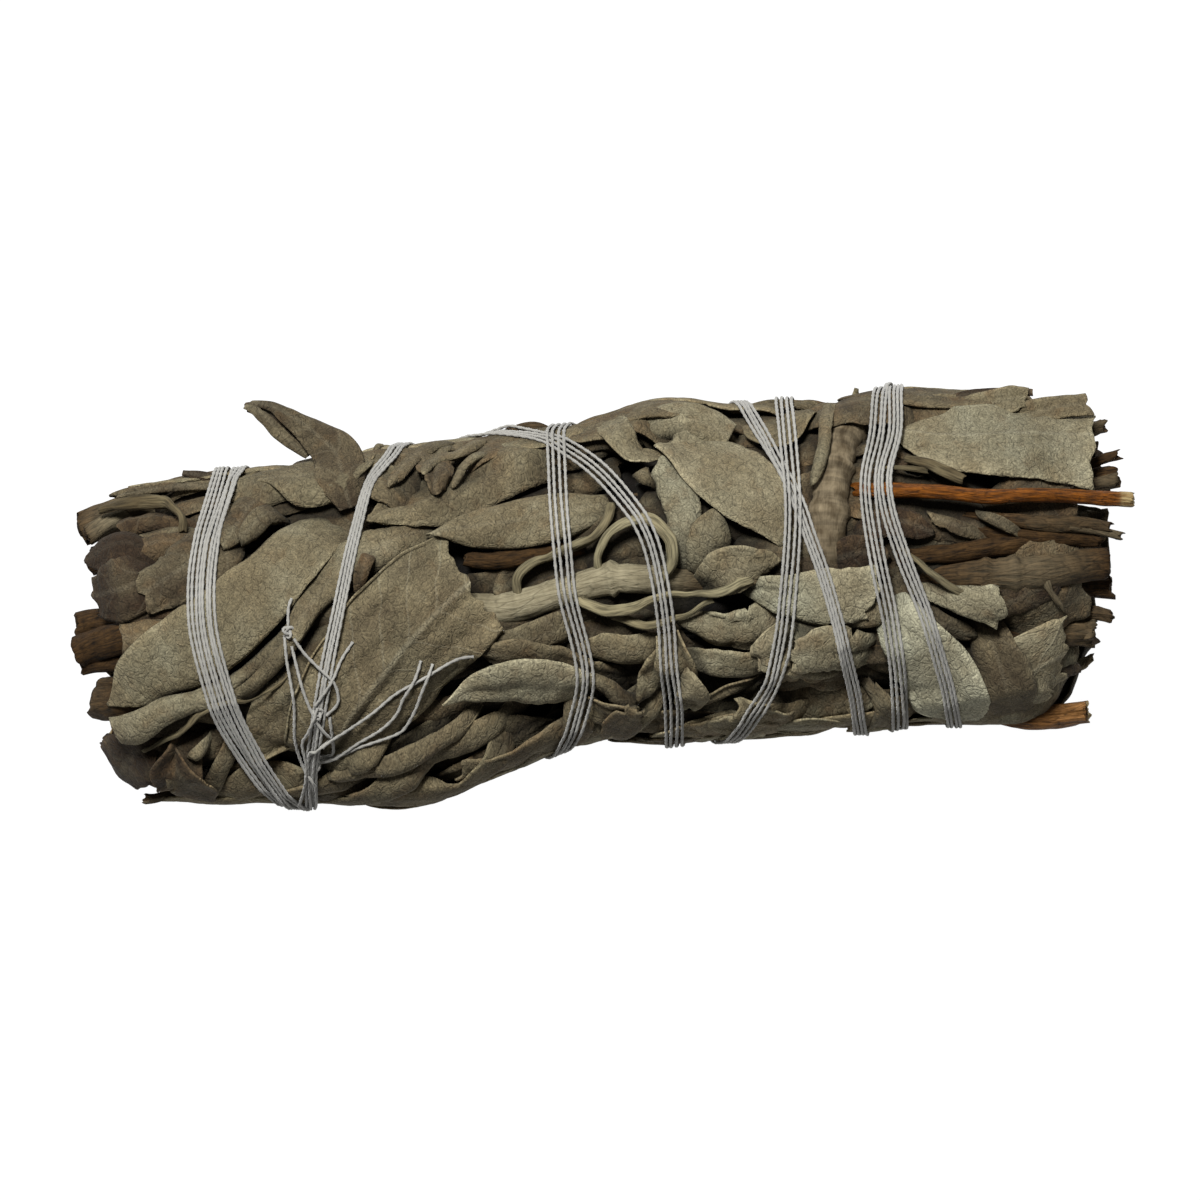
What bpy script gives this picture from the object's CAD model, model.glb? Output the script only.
# A bunch of dried white sage, lying on its side: six leafy sprigs packed round a seventh, two bare stems
# among them, and four cotton threads wound there and back along the bunch.
# Sizes are millimetres in the bunch's own frame and become metres where a mesh is made. A place on the
# bunch is x along it, the turn about its axis (0 on top, positive towards +Y) and the lift off the packed
# body. Seen from above, a place is written as (x, across, lift) instead.
import math

import bpy
import numpy as np
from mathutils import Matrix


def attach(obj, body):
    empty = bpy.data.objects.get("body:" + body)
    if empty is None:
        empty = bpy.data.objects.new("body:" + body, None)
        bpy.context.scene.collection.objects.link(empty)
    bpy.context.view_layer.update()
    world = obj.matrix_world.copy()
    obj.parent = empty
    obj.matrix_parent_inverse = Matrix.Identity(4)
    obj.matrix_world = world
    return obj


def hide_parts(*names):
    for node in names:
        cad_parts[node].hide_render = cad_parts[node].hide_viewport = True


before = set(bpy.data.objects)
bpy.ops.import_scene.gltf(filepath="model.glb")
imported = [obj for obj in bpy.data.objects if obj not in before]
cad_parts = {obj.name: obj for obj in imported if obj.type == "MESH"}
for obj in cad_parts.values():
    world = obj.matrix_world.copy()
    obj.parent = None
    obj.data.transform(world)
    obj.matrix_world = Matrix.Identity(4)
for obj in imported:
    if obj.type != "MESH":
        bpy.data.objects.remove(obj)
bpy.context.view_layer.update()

# ---------------------------------------------------------------------------------------------------------
# Camera: it looks straight down through a long lens, rolled so that the bunch slopes down to the right.

VIEW_WIDTH = 0.120
CAMERA_HEIGHT = 1.2
CAMERA_AIM = (-0.00041, -0.00265)
MIDDLE_HEIGHT = 0.015
camera_data = bpy.data.cameras.new("camera")
camera_data.sensor_width = 36
camera_data.lens = camera_data.sensor_width * CAMERA_HEIGHT / VIEW_WIDTH
camera = bpy.data.objects.new("camera", camera_data)
camera.location = (*CAMERA_AIM, CAMERA_HEIGHT + MIDDLE_HEIGHT)
camera.rotation_euler = (0, 0, math.radians(-5))
bpy.context.scene.collection.objects.link(camera)
bpy.context.scene.camera = camera

# ---------------------------------------------------------------------------------------------------------
# Packed inner leaves: the dark middle of each sprig, crushed together when the bunch is bound. Only glimpses
# of it show, in the gaps between the outer leaves.

OFF_CENTRE = np.array([0.15, -2.0, 0.0])
BODY_STATIONS = np.array([
    # x, centre across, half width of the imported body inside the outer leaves
    [-53, 0.4, 10.6],
    [-46, -1.0, 13.2],
    [-38, -1.2, 13.8],
    [-25, -1.1, 14.7],
    [-12, 0.0, 13.7],
    [-4, 0.9, 13.1],
    [6, 1.3, 13.9],
    [20, 0.9, 13.8],
    [30, 1.0, 14.1],
    [40, 0.3, 13.8],
    [50, 1.0, 11.8],
])
HEIGHT_SHARE = 0.84
UNDERSIDE = 2.8
HEART_SHARE = 0.38
SPRIG_TURNS = [0, 60, 120, 180, 240, 300]
SPRIG_ENDS = [(-46.6, 45.2), (-45.2, 46.4), (-47.4, 45.6), (-46, 46.8), (-47, 44.6), (-45.8, 45.8)]
HEART_ENDS = (-48.6, 48.2)
CORE_LIFT = -1.7
CORE_RECESS = 2.0


def eased(value, low, high):
    share = np.clip((value - low) / (high - low), 0, 1)
    return share * share * (3 - 2 * share)


def noise(a, b, cell, seed):
    """Smooth noise from -1 to 1 over a plane, in bumps about one cell across."""
    a = np.asarray(a, float) / cell + 19.7 * seed
    b = np.asarray(b, float) / cell - 7.3 * seed
    a, b = np.broadcast_arrays(a, b)
    i, j = np.floor(a).astype(np.int64), np.floor(b).astype(np.int64)
    across, along_b = eased(a - i, 0, 1), eased(b - j, 0, 1)

    def corner(di, dj):
        mixed = ((i + di) * 73856093) ^ ((j + dj) * 19349663) ^ (seed * 83492791)
        mixed = ((mixed ^ (mixed >> 13)) & 0xFFFFFFFF) * 1274126177
        return ((mixed >> 16) & 0xFFFF) / 32767.5 - 1

    near = corner(0, 0) * (1 - across) + corner(1, 0) * across
    far = corner(0, 1) * (1 - across) + corner(1, 1) * across
    return near * (1 - along_b) + far * along_b


def body_at(x):
    """Centre across, height of the centre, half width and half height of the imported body."""
    starts = BODY_STATIONS[:, 0]
    i = np.clip(np.searchsorted(starts, x) - 1, 0, len(starts) - 2)
    share = eased(x, starts[i], starts[i + 1])
    y = BODY_STATIONS[i, 1] * (1 - share) + BODY_STATIONS[i + 1, 1] * share
    half_width = BODY_STATIONS[i, 2] * (1 - share) + BODY_STATIONS[i + 1, 2] * share
    half_height = half_width * HEIGHT_SHARE
    return y, half_height + UNDERSIDE, half_width, half_height


def on_body(x, turn, lift, lowest=0.0):
    """Places on the bunch as points, none lower than the lowest height."""
    y, z, half_width, half_height = body_at(x)
    height = z + (half_height + lift) * np.cos(turn)
    return np.stack([x, y + (half_width + lift) * np.sin(turn), np.maximum(height, lowest)], -1)


def off_body(points):
    """The turn and lift of points, the other way round from on_body."""
    y, z, half_width, half_height = body_at(points[..., 0])
    across, up = points[..., 1] - y, points[..., 2] - z
    lift = np.zeros_like(across)
    for _ in range(5):
        turn = np.arctan2(across / (half_width + lift), up / (half_height + lift))
        sine, cosine = np.sin(turn), np.cos(turn)
        lift = across * sine + up * cosine - half_width * sine**2 - half_height * cosine**2
        lift = np.maximum(lift, -0.9 * half_height)
    return turn, lift


def unit(vectors):
    return vectors / np.linalg.norm(vectors, axis=-1, keepdims=True)


def outward_at(x, turn):
    _, _, half_width, half_height = body_at(x)
    return unit(np.stack([0 * x, half_height * np.sin(turn), half_width * np.cos(turn)], -1))


def mean_radius(x, lift):
    _, _, half_width, half_height = body_at(x)
    return (half_width + half_height) / 2 + lift


def from_above(x, across, lift):
    """A place that is seen from above, as x, turn and lift."""
    y, _, half_width, _ = body_at(x)
    sine = np.clip((across - y) / (half_width + max(lift, 0)), -1, 1)
    return float(x), float(np.arcsin(sine)), float(lift)


def seen(*places):
    return [from_above(*place) for place in places]


def all_round(*places):
    """Places given as x, degrees round from the top and lift, as x, turn and lift."""
    return [(float(x), math.radians(degrees), float(lift)) for x, degrees, lift in places]


def ladder(ring):
    """Quads that close a ring of an even number of points."""
    count = len(ring)
    steps = range(count // 2 - 1)
    return [(ring[k], ring[k + 1], ring[count - 2 - k], ring[count - 1 - k]) for k in steps]


def skinned(rings):
    """Vertices and outward quads of a closed skin over rings of points."""
    rings = np.asarray(rings)
    rows, count = rings.shape[:2]
    index = np.arange(rows * count).reshape(rows, count)
    beside = np.roll(index, -1, axis=1)
    quads = np.stack([index[:-1], beside[:-1], beside[1:], index[1:]], -1).reshape(-1, 4)
    faces = np.concatenate([quads, [quad[::-1] for quad in ladder(index[0])] + ladder(index[-1])])
    vertices = rings.reshape(-1, 3)
    corner = vertices[faces]
    volume = np.einsum("ij,ij->i", corner[:, 0], np.cross(corner[:, 1], corner[:, 2])).sum()
    volume += np.einsum("ij,ij->i", corner[:, 0], np.cross(corner[:, 2], corner[:, 3])).sum()
    return vertices, faces if volume > 0 else faces[:, ::-1]


def leafy(vertices, faces, uv, **values):
    """One part of a sprig: its mesh, and what its material reads at each vertex."""
    full = {name: np.broadcast_to(np.asarray(value, float).reshape(-1), len(vertices))
            for name, value in values.items()}
    return {"vertices": vertices, "faces": faces, "uv": uv, "values": full}


sprig_parts = [[] for _ in range(7)]


def core(sprig, seed):
    """The crushed middle of one sprig, as a rough bar in its share of the body."""
    first, last = SPRIG_ENDS[sprig] if sprig < 6 else HEART_ENDS
    stations = np.arange(first + CORE_RECESS, last - CORE_RECESS, 1.2)
    rings = []
    for x in stations:
        _, _, _, half_height = body_at(x)
        inner = (HEART_SHARE - 1) * half_height
        if sprig < 6:
            spread = math.radians(SPRIG_TURNS[sprig]) + math.radians(29.5) * np.linspace(1, -1, 12)
            turns = np.concatenate([spread, spread[::-1]])
            lifts = np.repeat([CORE_LIFT, inner], 12)
        else:
            turns = np.linspace(0, 2 * math.pi, 24, endpoint=False)
            lifts = np.full(24, inner - 0.8)
        rough = 0.55 * noise(x, turns * 12, 2.2, seed) * (lifts > inner + 0.1)
        rings.append(on_body(np.full(24, x), turns, lifts + rough))
    vertices, faces = skinned(rings)
    return leafy(vertices, faces, vertices[:, :2], own=seed, tint=-1, age=0.9, rim=0, lift=-3, stalk=0,
                 veined=0)


for sprig in range(7):
    sprig_parts[sprig].append(core(sprig, seed=900 + sprig))

# ---------------------------------------------------------------------------------------------------------
# Leaves: long ovals about 9 mm wide, grey-green and felted. They dried crumpled, with rolled edges, a sunk
# midrib and a net of veins. Each is pressed on to whatever already lies under it, and squeezed where many do.

BLADE_THICKNESS = 0.32
OFF_TABLE = 0.2
FOOT = -1.9
LOW = 0.55
MID = 1.1
HIGH = 1.7
CROWDED_TOP = 3.4
CROWDED_FLANK = 2.3
LOWER_SWELL = (-19, 7.5, 1.7)
UPPER_SWELL = (8, 5, 1.1)
CRUMPLES = [(6.0, 1), (2.4, 0.45), (1.0, 0.15)]
CREASE_SIZES = [4.2, 3.1, 1.9]
PILE_STEP = 0.25
PILE_START = -58.0
pile = np.full((464, 360), -3.0)


def along(controls, t):
    """The places at t = 0 to 1 along a smooth line through the control places."""
    controls = np.asarray(controls, float)
    last = len(controls) - 1
    place = np.asarray(t, float) * last
    i = np.clip(np.floor(place).astype(int), 0, last - 1)
    f = (place - i)[:, None]
    p0, p1, p2, p3 = (controls[np.clip(i + k, 0, last)] for k in (-1, 0, 1, 2))
    return p1 + 0.5 * f * (p2 - p0 + f * (2 * p0 - 5 * p1 + 4 * p2 - p3 + f * (3 * (p1 - p2) + p3 - p0)))


def pile_cell(x, turn):
    i = np.clip(np.rint((x - PILE_START) / PILE_STEP).astype(int), 0, pile.shape[0] - 1)
    j = np.rint(np.degrees(turn)).astype(int) % pile.shape[1]
    return i, j


def between(grid):
    """A grid of values with one more value between each two."""
    tall = np.empty((2 * grid.shape[0] - 1, grid.shape[1]))
    tall[::2] = grid
    tall[1::2] = (grid[:-1] + grid[1:]) / 2
    wide = np.empty((tall.shape[0], 2 * grid.shape[1] - 1))
    wide[:, ::2] = tall
    wide[:, 1::2] = (tall[:, :-1] + tall[:, 1:]) / 2
    return wide


def add_to_pile(x, turn, lift):
    np.maximum.at(pile, pile_cell(between(x), between(turn)), between(lift))


def spread_out(values, reach):
    """The most that any neighbour within reach has, blurred over the same reach."""
    for gather, axis in ((np.max, 0), (np.max, 1), (np.mean, 0), (np.mean, 1)):
        width = min(reach, values.shape[axis] // 2)
        padded = np.pad(values, [(width, width) if k == axis else (0, 0) for k in (0, 1)], "edge")
        windows = np.lib.stride_tricks.sliding_window_view(padded, 2 * width + 1, axis=axis)
        values = gather(windows, axis=-1)
    return values


def even_steps(controls, step, fewest, samples):
    """Distances a step apart along the line through some places on the bunch, and what the line has there."""
    fine = along(controls, np.linspace(0, 1, samples))
    gaps = np.linalg.norm(np.diff(on_body(*fine[:, :3].T), axis=0), axis=1)
    travelled = np.concatenate([[0], np.cumsum(gaps)])
    distance = np.linspace(0, travelled[-1], max(int(travelled[-1] / step), fewest) + 1)
    return distance, along(controls, np.interp(distance, travelled, np.linspace(0, 1, samples))).T


def half_section(width, bow, roll, roll_radius, crease, fold, columns):
    """Across one half of a blade: how far out and how high each point is, and its distance over the blade.
    `bow` is how far its edge is bent down and `roll` how far its rim is rolled, up if positive. It is folded
    at the share `crease` of its width, by `fold` at each row."""
    bend = abs(bow)
    arc = width * (bend / math.sin(min(bend, math.pi / 2)) if bend > 0.05 else 1)
    radius = np.minimum(roll_radius, 0.5 * arc) if roll else 0 * arc
    flat = arc - radius
    distance = np.linspace(0, 1, columns) * (flat + radius * abs(roll))[:, None]
    middle = (distance[:, 1:] + distance[:, :-1]) / 2
    angle = -bow * np.minimum(middle / flat[:, None], 1)
    angle = angle - fold[:, None] * eased(middle / flat[:, None], crease - 0.12, crease + 0.12)
    if roll:
        past = (middle - flat[:, None]) / radius[:, None]
        angle = angle + math.copysign(1, roll) * np.clip(past, 0, abs(roll))
    gap = np.diff(distance, axis=1)
    start = np.zeros((len(width), 1))
    out = np.concatenate([start, np.cumsum(gap * np.cos(angle), axis=1)], 1)
    high = np.concatenate([start, np.cumsum(gap * np.sin(angle), axis=1)], 1)
    return out, high, distance


def blade_surface(spine, half, seed, ends, bow, rolls, roll_radius, tip, wave, rib, pleat, ragged, creases,
                  torn, step):
    """The middle surface of a blade over its spine, as sideways and upward distances. `half` is its half
    width, or its half widths at even distances from foot to tip."""
    travelled = np.concatenate([[0], np.cumsum(np.linalg.norm(np.diff(spine, axis=0), axis=1))])
    length = travelled[-1]
    u = travelled / length
    widest = float(np.max(half))
    if np.ndim(half):
        width = along(np.array(half, float)[:, None], u)[:, 0]
    else:
        share = ends[0] + (ends[1] - ends[0]) * u
        width = half * (share + (1 - share) * np.sin(np.pi * u) ** 0.7)
    if tip == "round":
        rounded = min(1.6 * widest, 0.4 * length) / length
        width = width * np.clip(1.01 - np.clip((u - 1 + rounded) / rounded, 0, 1) ** 2, 0.01, 1) ** 0.6
    if tip == "point":
        width = width * np.clip((1.04 - u) / 0.4, 0, 1) ** 0.6
    columns = max(int(widest / step), 3) + 1
    chance = np.random.default_rng(seed + 9).uniform(size=6)
    halves = []
    for side in (0, 1):
        edge = 0.09 * noise(travelled, 5 * side, 3.4, seed + 3) + 0.05 * noise(travelled, 5 * side, 1.1, seed)
        edge = edge - 0.2 * eased(noise(travelled, 9 * side, 1.3, seed + 8), 0.7, 0.9)
        crease, fold = creases[side] if creases else (0.3 + 0.4 * chance[side], 1.5 * chance[side + 2] - 0.55)
        if not creases and chance[side + 4] < 0.35:
            fold = 0
        fold = fold * (0.55 + 0.6 * noise(travelled, 7 * side, 5.0, seed + 7))
        ragged_width = np.maximum(width * (1 + ragged * edge), 0.12)
        halves.append(half_section(ragged_width, bow, rolls[side], roll_radius, crease, fold, columns))
    (left_out, left_high, left_far), (right_out, right_high, right_far) = halves
    out = np.concatenate([-left_out[:, :0:-1], right_out], 1)
    high = np.concatenate([left_high[:, :0:-1], right_high], 1)
    across = np.concatenate([-left_far[:, :0:-1], right_far], 1)
    edge = np.abs(np.linspace(-1, 1, out.shape[1]))[None, :]
    length_along = travelled[:, None]
    high = high - 0.4 * high.min(axis=1, keepdims=True)
    for k, (size, share) in enumerate(CRUMPLES):
        high = high + share * wave * noise(length_along, across, size, seed + 11 + k)
    high = high + wave * edge**2 * noise(length_along, 9 * np.sign(across), 4.0, seed + 14)
    for k, size in enumerate(CREASE_SIZES):
        creased = 0.3 - np.abs(noise(length_along, across, size, seed + 17 + k))
        high = high + (-1) ** k * 0.3 * wave * size**0.5 * creased
    pleats = np.abs(noise(length_along / 9, across, 1.7, seed + 16))
    high = high - pleat * (1 - eased(pleats, 0, 0.3))
    high = high - rib * np.exp(-((across / 0.45) ** 2)) * (1 - 0.6 * u[:, None])
    veins = (length_along - 0.85 * np.abs(across)) / 1.9 + 0.25 * noise(length_along, across, 3, seed + 15)
    groove = np.abs((veins % 1) - 0.5) * 2
    high = high - 0.35 * rib * eased(groove, 0.72, 1) * eased(np.abs(across), 0.3, 1) * (1 - edge**3)
    back = 0 * high
    if tip == "torn":
        jagged = 0.55 + 0.3 * noise(across, 0, 1.9, seed + 5) + 0.35 * noise(across, 0, 0.7, seed + 6)
        back = -torn * np.minimum(2.2, 0.2 * length) * jagged * eased(u, 0.7, 1)[:, None]
    rim = np.maximum(edge**6, u[:, None] ** 30)
    return length_along + back, across, out, high, back, rim * np.ones_like(high), u


def blade_part(points, uv, rim, lift, seed, tint, age, veined, facing):
    """A closed blade of even thickness round its middle surface."""
    rows, columns = points.shape[:2]
    normal = np.cross(np.gradient(points, axis=0), np.gradient(points, axis=1))
    normal = normal / (np.linalg.norm(normal, axis=-1, keepdims=True) + 1e-9)
    middle = columns // 2
    turned_over = (normal[:, middle] * facing).sum() < 0
    if turned_over:
        normal = -normal
    half_thickness = BLADE_THICKNESS / 2 * (1 - 0.45 * rim[..., None])
    vertices = np.concatenate([(points + normal * half_thickness).reshape(-1, 3),
                               (points - normal * half_thickness).reshape(-1, 3)])
    top = np.arange(rows * columns).reshape(rows, columns)
    under = top + rows * columns
    faces = [
        np.stack([top[:-1, :-1], top[1:, :-1], top[1:, 1:], top[:-1, 1:]], -1).reshape(-1, 4),
        np.stack([under[:-1, :-1], under[:-1, 1:], under[1:, 1:], under[1:, :-1]], -1).reshape(-1, 4),
        np.stack([top[:-1, 0], under[:-1, 0], under[1:, 0], top[1:, 0]], -1),
        np.stack([top[:-1, -1], top[1:, -1], under[1:, -1], under[:-1, -1]], -1),
        np.stack([top[0, :-1], top[0, 1:], under[0, 1:], under[0, :-1]], -1),
        np.stack([top[-1, :-1], under[-1, :-1], under[-1, 1:], top[-1, 1:]], -1),
    ]
    faces = np.concatenate(faces)
    if turned_over:
        faces = faces[:, ::-1]
    twice = [np.tile(grid.reshape(-1), 2) for grid in (rim, lift)]
    return leafy(vertices, faces, np.tile(uv.reshape(-1, 2), (2, 1)), own=seed, tint=tint, age=age,
                 rim=twice[0], lift=twice[1], stalk=0, veined=veined)


def drawn_rolls(seed):
    """Each rim of a leaf is rolled under or left flat as it dried."""
    chance = np.random.default_rng(seed).uniform(size=4)
    return tuple(-0.8 - 1.6 * chance[k] if chance[k + 2] < 0.36 else 0 for k in (0, 1))


def laid_blade(path, half, seed, ends=(0.7, 0.5), bow=0.3, rolls=None, roll_radius=0.35, tip="round",
               wave=0.42, rib=0.2, pleat=0.28, ragged=0.9, creases=None, torn=1.0, tint=0.0, age=0.25,
               veined=0.12, step=0.38, pressed=True):
    """A leaf laid on the pile, from its foot to its tip."""
    if rolls is None:
        rolls = drawn_rolls(seed)
    _, (x, turn, lift) = even_steps(path, step, fewest=7, samples=90)
    uv_along, across, out, high, back, rim, u = blade_surface(
        on_body(x, turn, lift), half, seed, ends, bow, rolls, roll_radius, tip, wave, rib, pleat, ragged,
        creases, torn, step)
    radius = mean_radius(x, lift)
    heading = np.stack([np.gradient(x), np.gradient(turn) * radius])
    heading = heading / np.linalg.norm(heading, axis=0)
    ahead, sideways = heading[:, :, None]
    at_x = x[:, None] + ahead * back - sideways * out
    at_turn = turn[:, None] + (sideways * back + ahead * out) / radius[:, None]
    at_lift = lift[:, None] + high
    if pressed:
        needed = pile[pile_cell(at_x, at_turn)] + 0.5 * BLADE_THICKNESS + 0.06 - at_lift
        needed = np.clip(needed, 0, None) * eased(u, 0.04, 0.3)[:, None]
        at_lift = at_lift + spread_out(needed, 3)
        below, above = (rise * np.exp(-(((at_x - middle) / reach) ** 2))
                        for middle, reach, rise in (LOWER_SWELL, UPPER_SWELL))
        flank = CROWDED_FLANK + np.where(np.sin(at_turn) < 0, below, above)
        crowded = CROWDED_TOP + (flank - CROWDED_TOP) * eased(np.abs(np.sin(at_turn)), 0.75, 0.95)
        at_lift = np.where(at_lift > crowded, crowded + 0.35 * (at_lift - crowded), at_lift)
    add_to_pile(at_x, at_turn, at_lift + 0.5 * BLADE_THICKNESS)
    points = on_body(at_x, at_turn, at_lift, OFF_TABLE)
    uv = np.stack([uv_along, across], -1)
    return blade_part(points, uv, rim, at_lift, seed, tint, age, veined, outward_at(x, turn))


def sprig_under(turn):
    return int(round(math.degrees(turn) / 60)) % 6


def add_leaf(places, half, seed, **form):
    """Lays a leaf and adds it to the sprig that its foot grows from."""
    sprig_parts[sprig_under(places[0][1])].append(laid_blade(places, half, seed, **form))


def lay(level, path, half, seed, **form):
    """Adds a leaf given as seen from above: its foot sunk in and the rest at one level, where its places give
    no lift of their own."""
    lifts = [FOOT] + [level] * (len(path) - 1)
    add_leaf([from_above(*(*place, lift)[:3]) for place, lift in zip(path, lifts)], half, seed, **form)


# The crumpled inner leaves that show in the gaps, spread evenly round the body by the golden angle.
INNER_LEAVES = 170
GOLDEN_TURN = math.radians(137.508)
draw = np.random.default_rng(7)
for k in range(INNER_LEAVES):
    x = -44 + 88 * (k + 0.5) / INNER_LEAVES
    turn = k * GOLDEN_TURN
    length = draw.uniform(11, 18) * draw.choice([1, -1])
    if abs(x + length) > 46:
        length = -length
    slant = draw.uniform(-0.4, 0.4)
    rise = draw.uniform(-1.3, -0.2)
    places = [(x + length * share, turn + slant * share, rise - (1.2 if share == 0 else 0))
              for share in (0, 0.3, 0.7, 1)]
    form = dict(bow=draw.uniform(-0.6, 1.0), wave=draw.uniform(0.3, 0.6), tint=draw.uniform(-0.9, -0.2),
                age=draw.uniform(0.2, 0.8), step=0.55, pressed=False, tip=draw.choice(["round", "torn"]))
    add_leaf(places, draw.uniform(2.2, 3.6), 1000 + k, **form)

# ---------------------------------------------------------------------------------------------------------
# Stems: woody twigs 2 to 4 mm thick with loose, streaked bark, broken or snipped off at both ends of the
# bunch. Two more lie bare among the sprigs: a thick one with rings where leaves grew, and one peeled to its
# orange wood.


def node(tree, kind, inputs=(), out=0, **settings):
    """Adds a node and returns one of its outputs, or the node itself if `out` is None. A short kind is a
    shader node's. `inputs` gives sockets a value or another node's output, in order or by name or number."""
    made = tree.nodes.new(kind if "Node" in kind else "ShaderNode" + kind)
    for name, value in settings.items():
        setattr(made, name, value)
    for socket, value in inputs.items() if isinstance(inputs, dict) else enumerate(inputs):
        if isinstance(value, bpy.types.NodeSocket):
            tree.links.new(value, made.inputs[socket])
        else:
            made.inputs[socket].default_value = value
    return made if out is None else made.outputs[out]


def linear(hex_colour):
    """An sRGB hex value as linear red, green, blue and alpha."""
    parts = [int(hex_colour[k:k + 2], 16) / 255 for k in (1, 3, 5)]
    return [c / 12.92 if c <= 0.04045 else ((c + 0.055) / 1.055) ** 2.4 for c in parts] + [1.0]


def new_material(name):
    material = bpy.data.materials.new(name)
    material.use_nodes = True
    tree = material.node_tree
    tree.nodes.clear()
    return material, tree


def grown(path, radii, seed, tones=(0,), sides=40, step=0.35, ridge=0.16, joints=(), ragged=0.6, flat=0.0,
          kinked=0.0):
    """A stem or petiole along places on the bunch, with raised joints and broken ends."""
    controls = [(*place, radii[min(i, len(radii) - 1)], tones[min(i, len(tones) - 1)])
                for i, place in enumerate(path)]
    distance, (x, turn, lift, radius, tone) = even_steps(controls, step, fewest=6, samples=120)
    x = x + kinked * noise(distance, 0, 1.7, seed + 8)
    turn = turn + kinked * noise(distance, 5, 1.7, seed + 9) / 15
    centre = on_body(x, turn, lift, OFF_TABLE)
    forward = unit(np.gradient(centre, axis=0))
    out = outward_at(x, turn)
    out = unit(out - forward * (out * forward).sum(1, keepdims=True))
    sideways = np.cross(out, forward)
    angle = 2 * math.pi * (np.arange(sides) + 0.5) / sides
    round_it = angle[None, :] * radius.mean()
    shape = radius[:, None] * (1 + 0.4 * ridge * noise(distance[:, None], round_it, 3.5, seed))
    wrap = np.abs(angle - math.pi)[None, :] * radius.mean()
    shape = shape + ridge * noise(distance[:, None] / 6, wrap, 0.7, seed + 1)
    shape = shape + 0.6 * ridge * noise(distance[:, None] / 4, wrap, 0.35, seed + 2)
    shape = shape - 0.8 * ridge * eased(noise(distance[:, None] / 4, wrap, 0.5, seed + 3), 0.45, 0.75)
    twist = angle[None, :] - 0.22 * distance[:, None] - seed
    shape = shape * (1 - flat * np.sin(twist) ** 2)
    for joint in joints:
        away = (distance - joint * distance[-1])[:, None]
        shape = shape + 0.38 * np.exp(-((away / 0.4) ** 2)) - 0.16 * np.exp(-(((away - 0.8) / 0.25) ** 2))
    caps = [0.15, 0.5, 0.85]
    rows = len(distance)
    scale = np.concatenate([caps, np.ones(rows), caps[::-1]])
    row = np.concatenate([[0] * 3, np.arange(rows), [rows - 1] * 3])
    jag = ragged * noise(scale[:, None] * 3, angle * 0.8, 0.7, seed + 4) * (1 - 0.4 * scale[:, None])
    reach = np.zeros((len(row), sides))
    reach[:4] = -ragged * noise(0, angle, 0.8, seed + 5) * (scale[:4, None] > 0.8) + np.abs(jag[:4])
    reach[-4:] = ragged * noise(0, angle, 0.8, seed + 6) * (scale[-4:, None] > 0.8) - np.abs(jag[-4:])
    spokes = sideways[row][:, None] * np.cos(angle)[:, None] + out[row][:, None] * np.sin(angle)[:, None]
    across = (shape[row] * scale[:, None])[..., None] * spokes
    points = centre[row][:, None] + across + forward[row][:, None] * reach[..., None]
    points[..., 2] = np.maximum(points[..., 2], 0.05)
    between_caps = points[3:-3]
    at_turn, at_lift = off_body(between_caps)
    at_turn = turn[:, None] + (at_turn - turn[:, None] + math.pi) % (2 * math.pi) - math.pi
    add_to_pile(between_caps[..., 0], at_turn, at_lift)
    vertices, faces = skinned(points)
    uv = np.stack([np.broadcast_to(distance[row][:, None], reach.shape),
                   np.broadcast_to(round_it, reach.shape)], -1).reshape(-1, 2)
    values = {name: np.broadcast_to(value[:, None], reach.shape).reshape(-1)
              for name, value in (("cut", scale < 0.99), ("tone", tone[row]))}
    return {"vertices": vertices, "faces": faces, "uv": uv, "values": values}


def mesh_piece(name, parts, material):
    """Joins parts in one object, in metres, with a uv map in millimetres and a value at each vertex."""
    starts = np.cumsum([0] + [len(part["vertices"]) for part in parts])
    vertices = (np.concatenate([part["vertices"] for part in parts]) + OFF_CENTRE) * 0.001
    faces = np.concatenate([part["faces"] + start for part, start in zip(parts, starts)])
    mesh = bpy.data.meshes.new(name)
    mesh.from_pydata(vertices.tolist(), [], faces.tolist())
    uv = np.concatenate([part["uv"] for part in parts])
    layer = mesh.uv_layers.new(name="blade")
    layer.data.foreach_set("uv", uv[faces.reshape(-1)].astype(np.float32).reshape(-1))
    for value in parts[0]["values"]:
        held = np.concatenate([part["values"][value] for part in parts])
        mesh.attributes.new(value, "FLOAT", "POINT").data.foreach_set("value", held.astype(np.float32))
    mesh.materials.append(material)
    mesh.polygons.foreach_set("use_smooth", np.ones(len(faces), bool))
    mesh.update()
    made = bpy.data.objects.new(name, mesh)
    bpy.context.scene.collection.objects.link(made)
    return made


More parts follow.
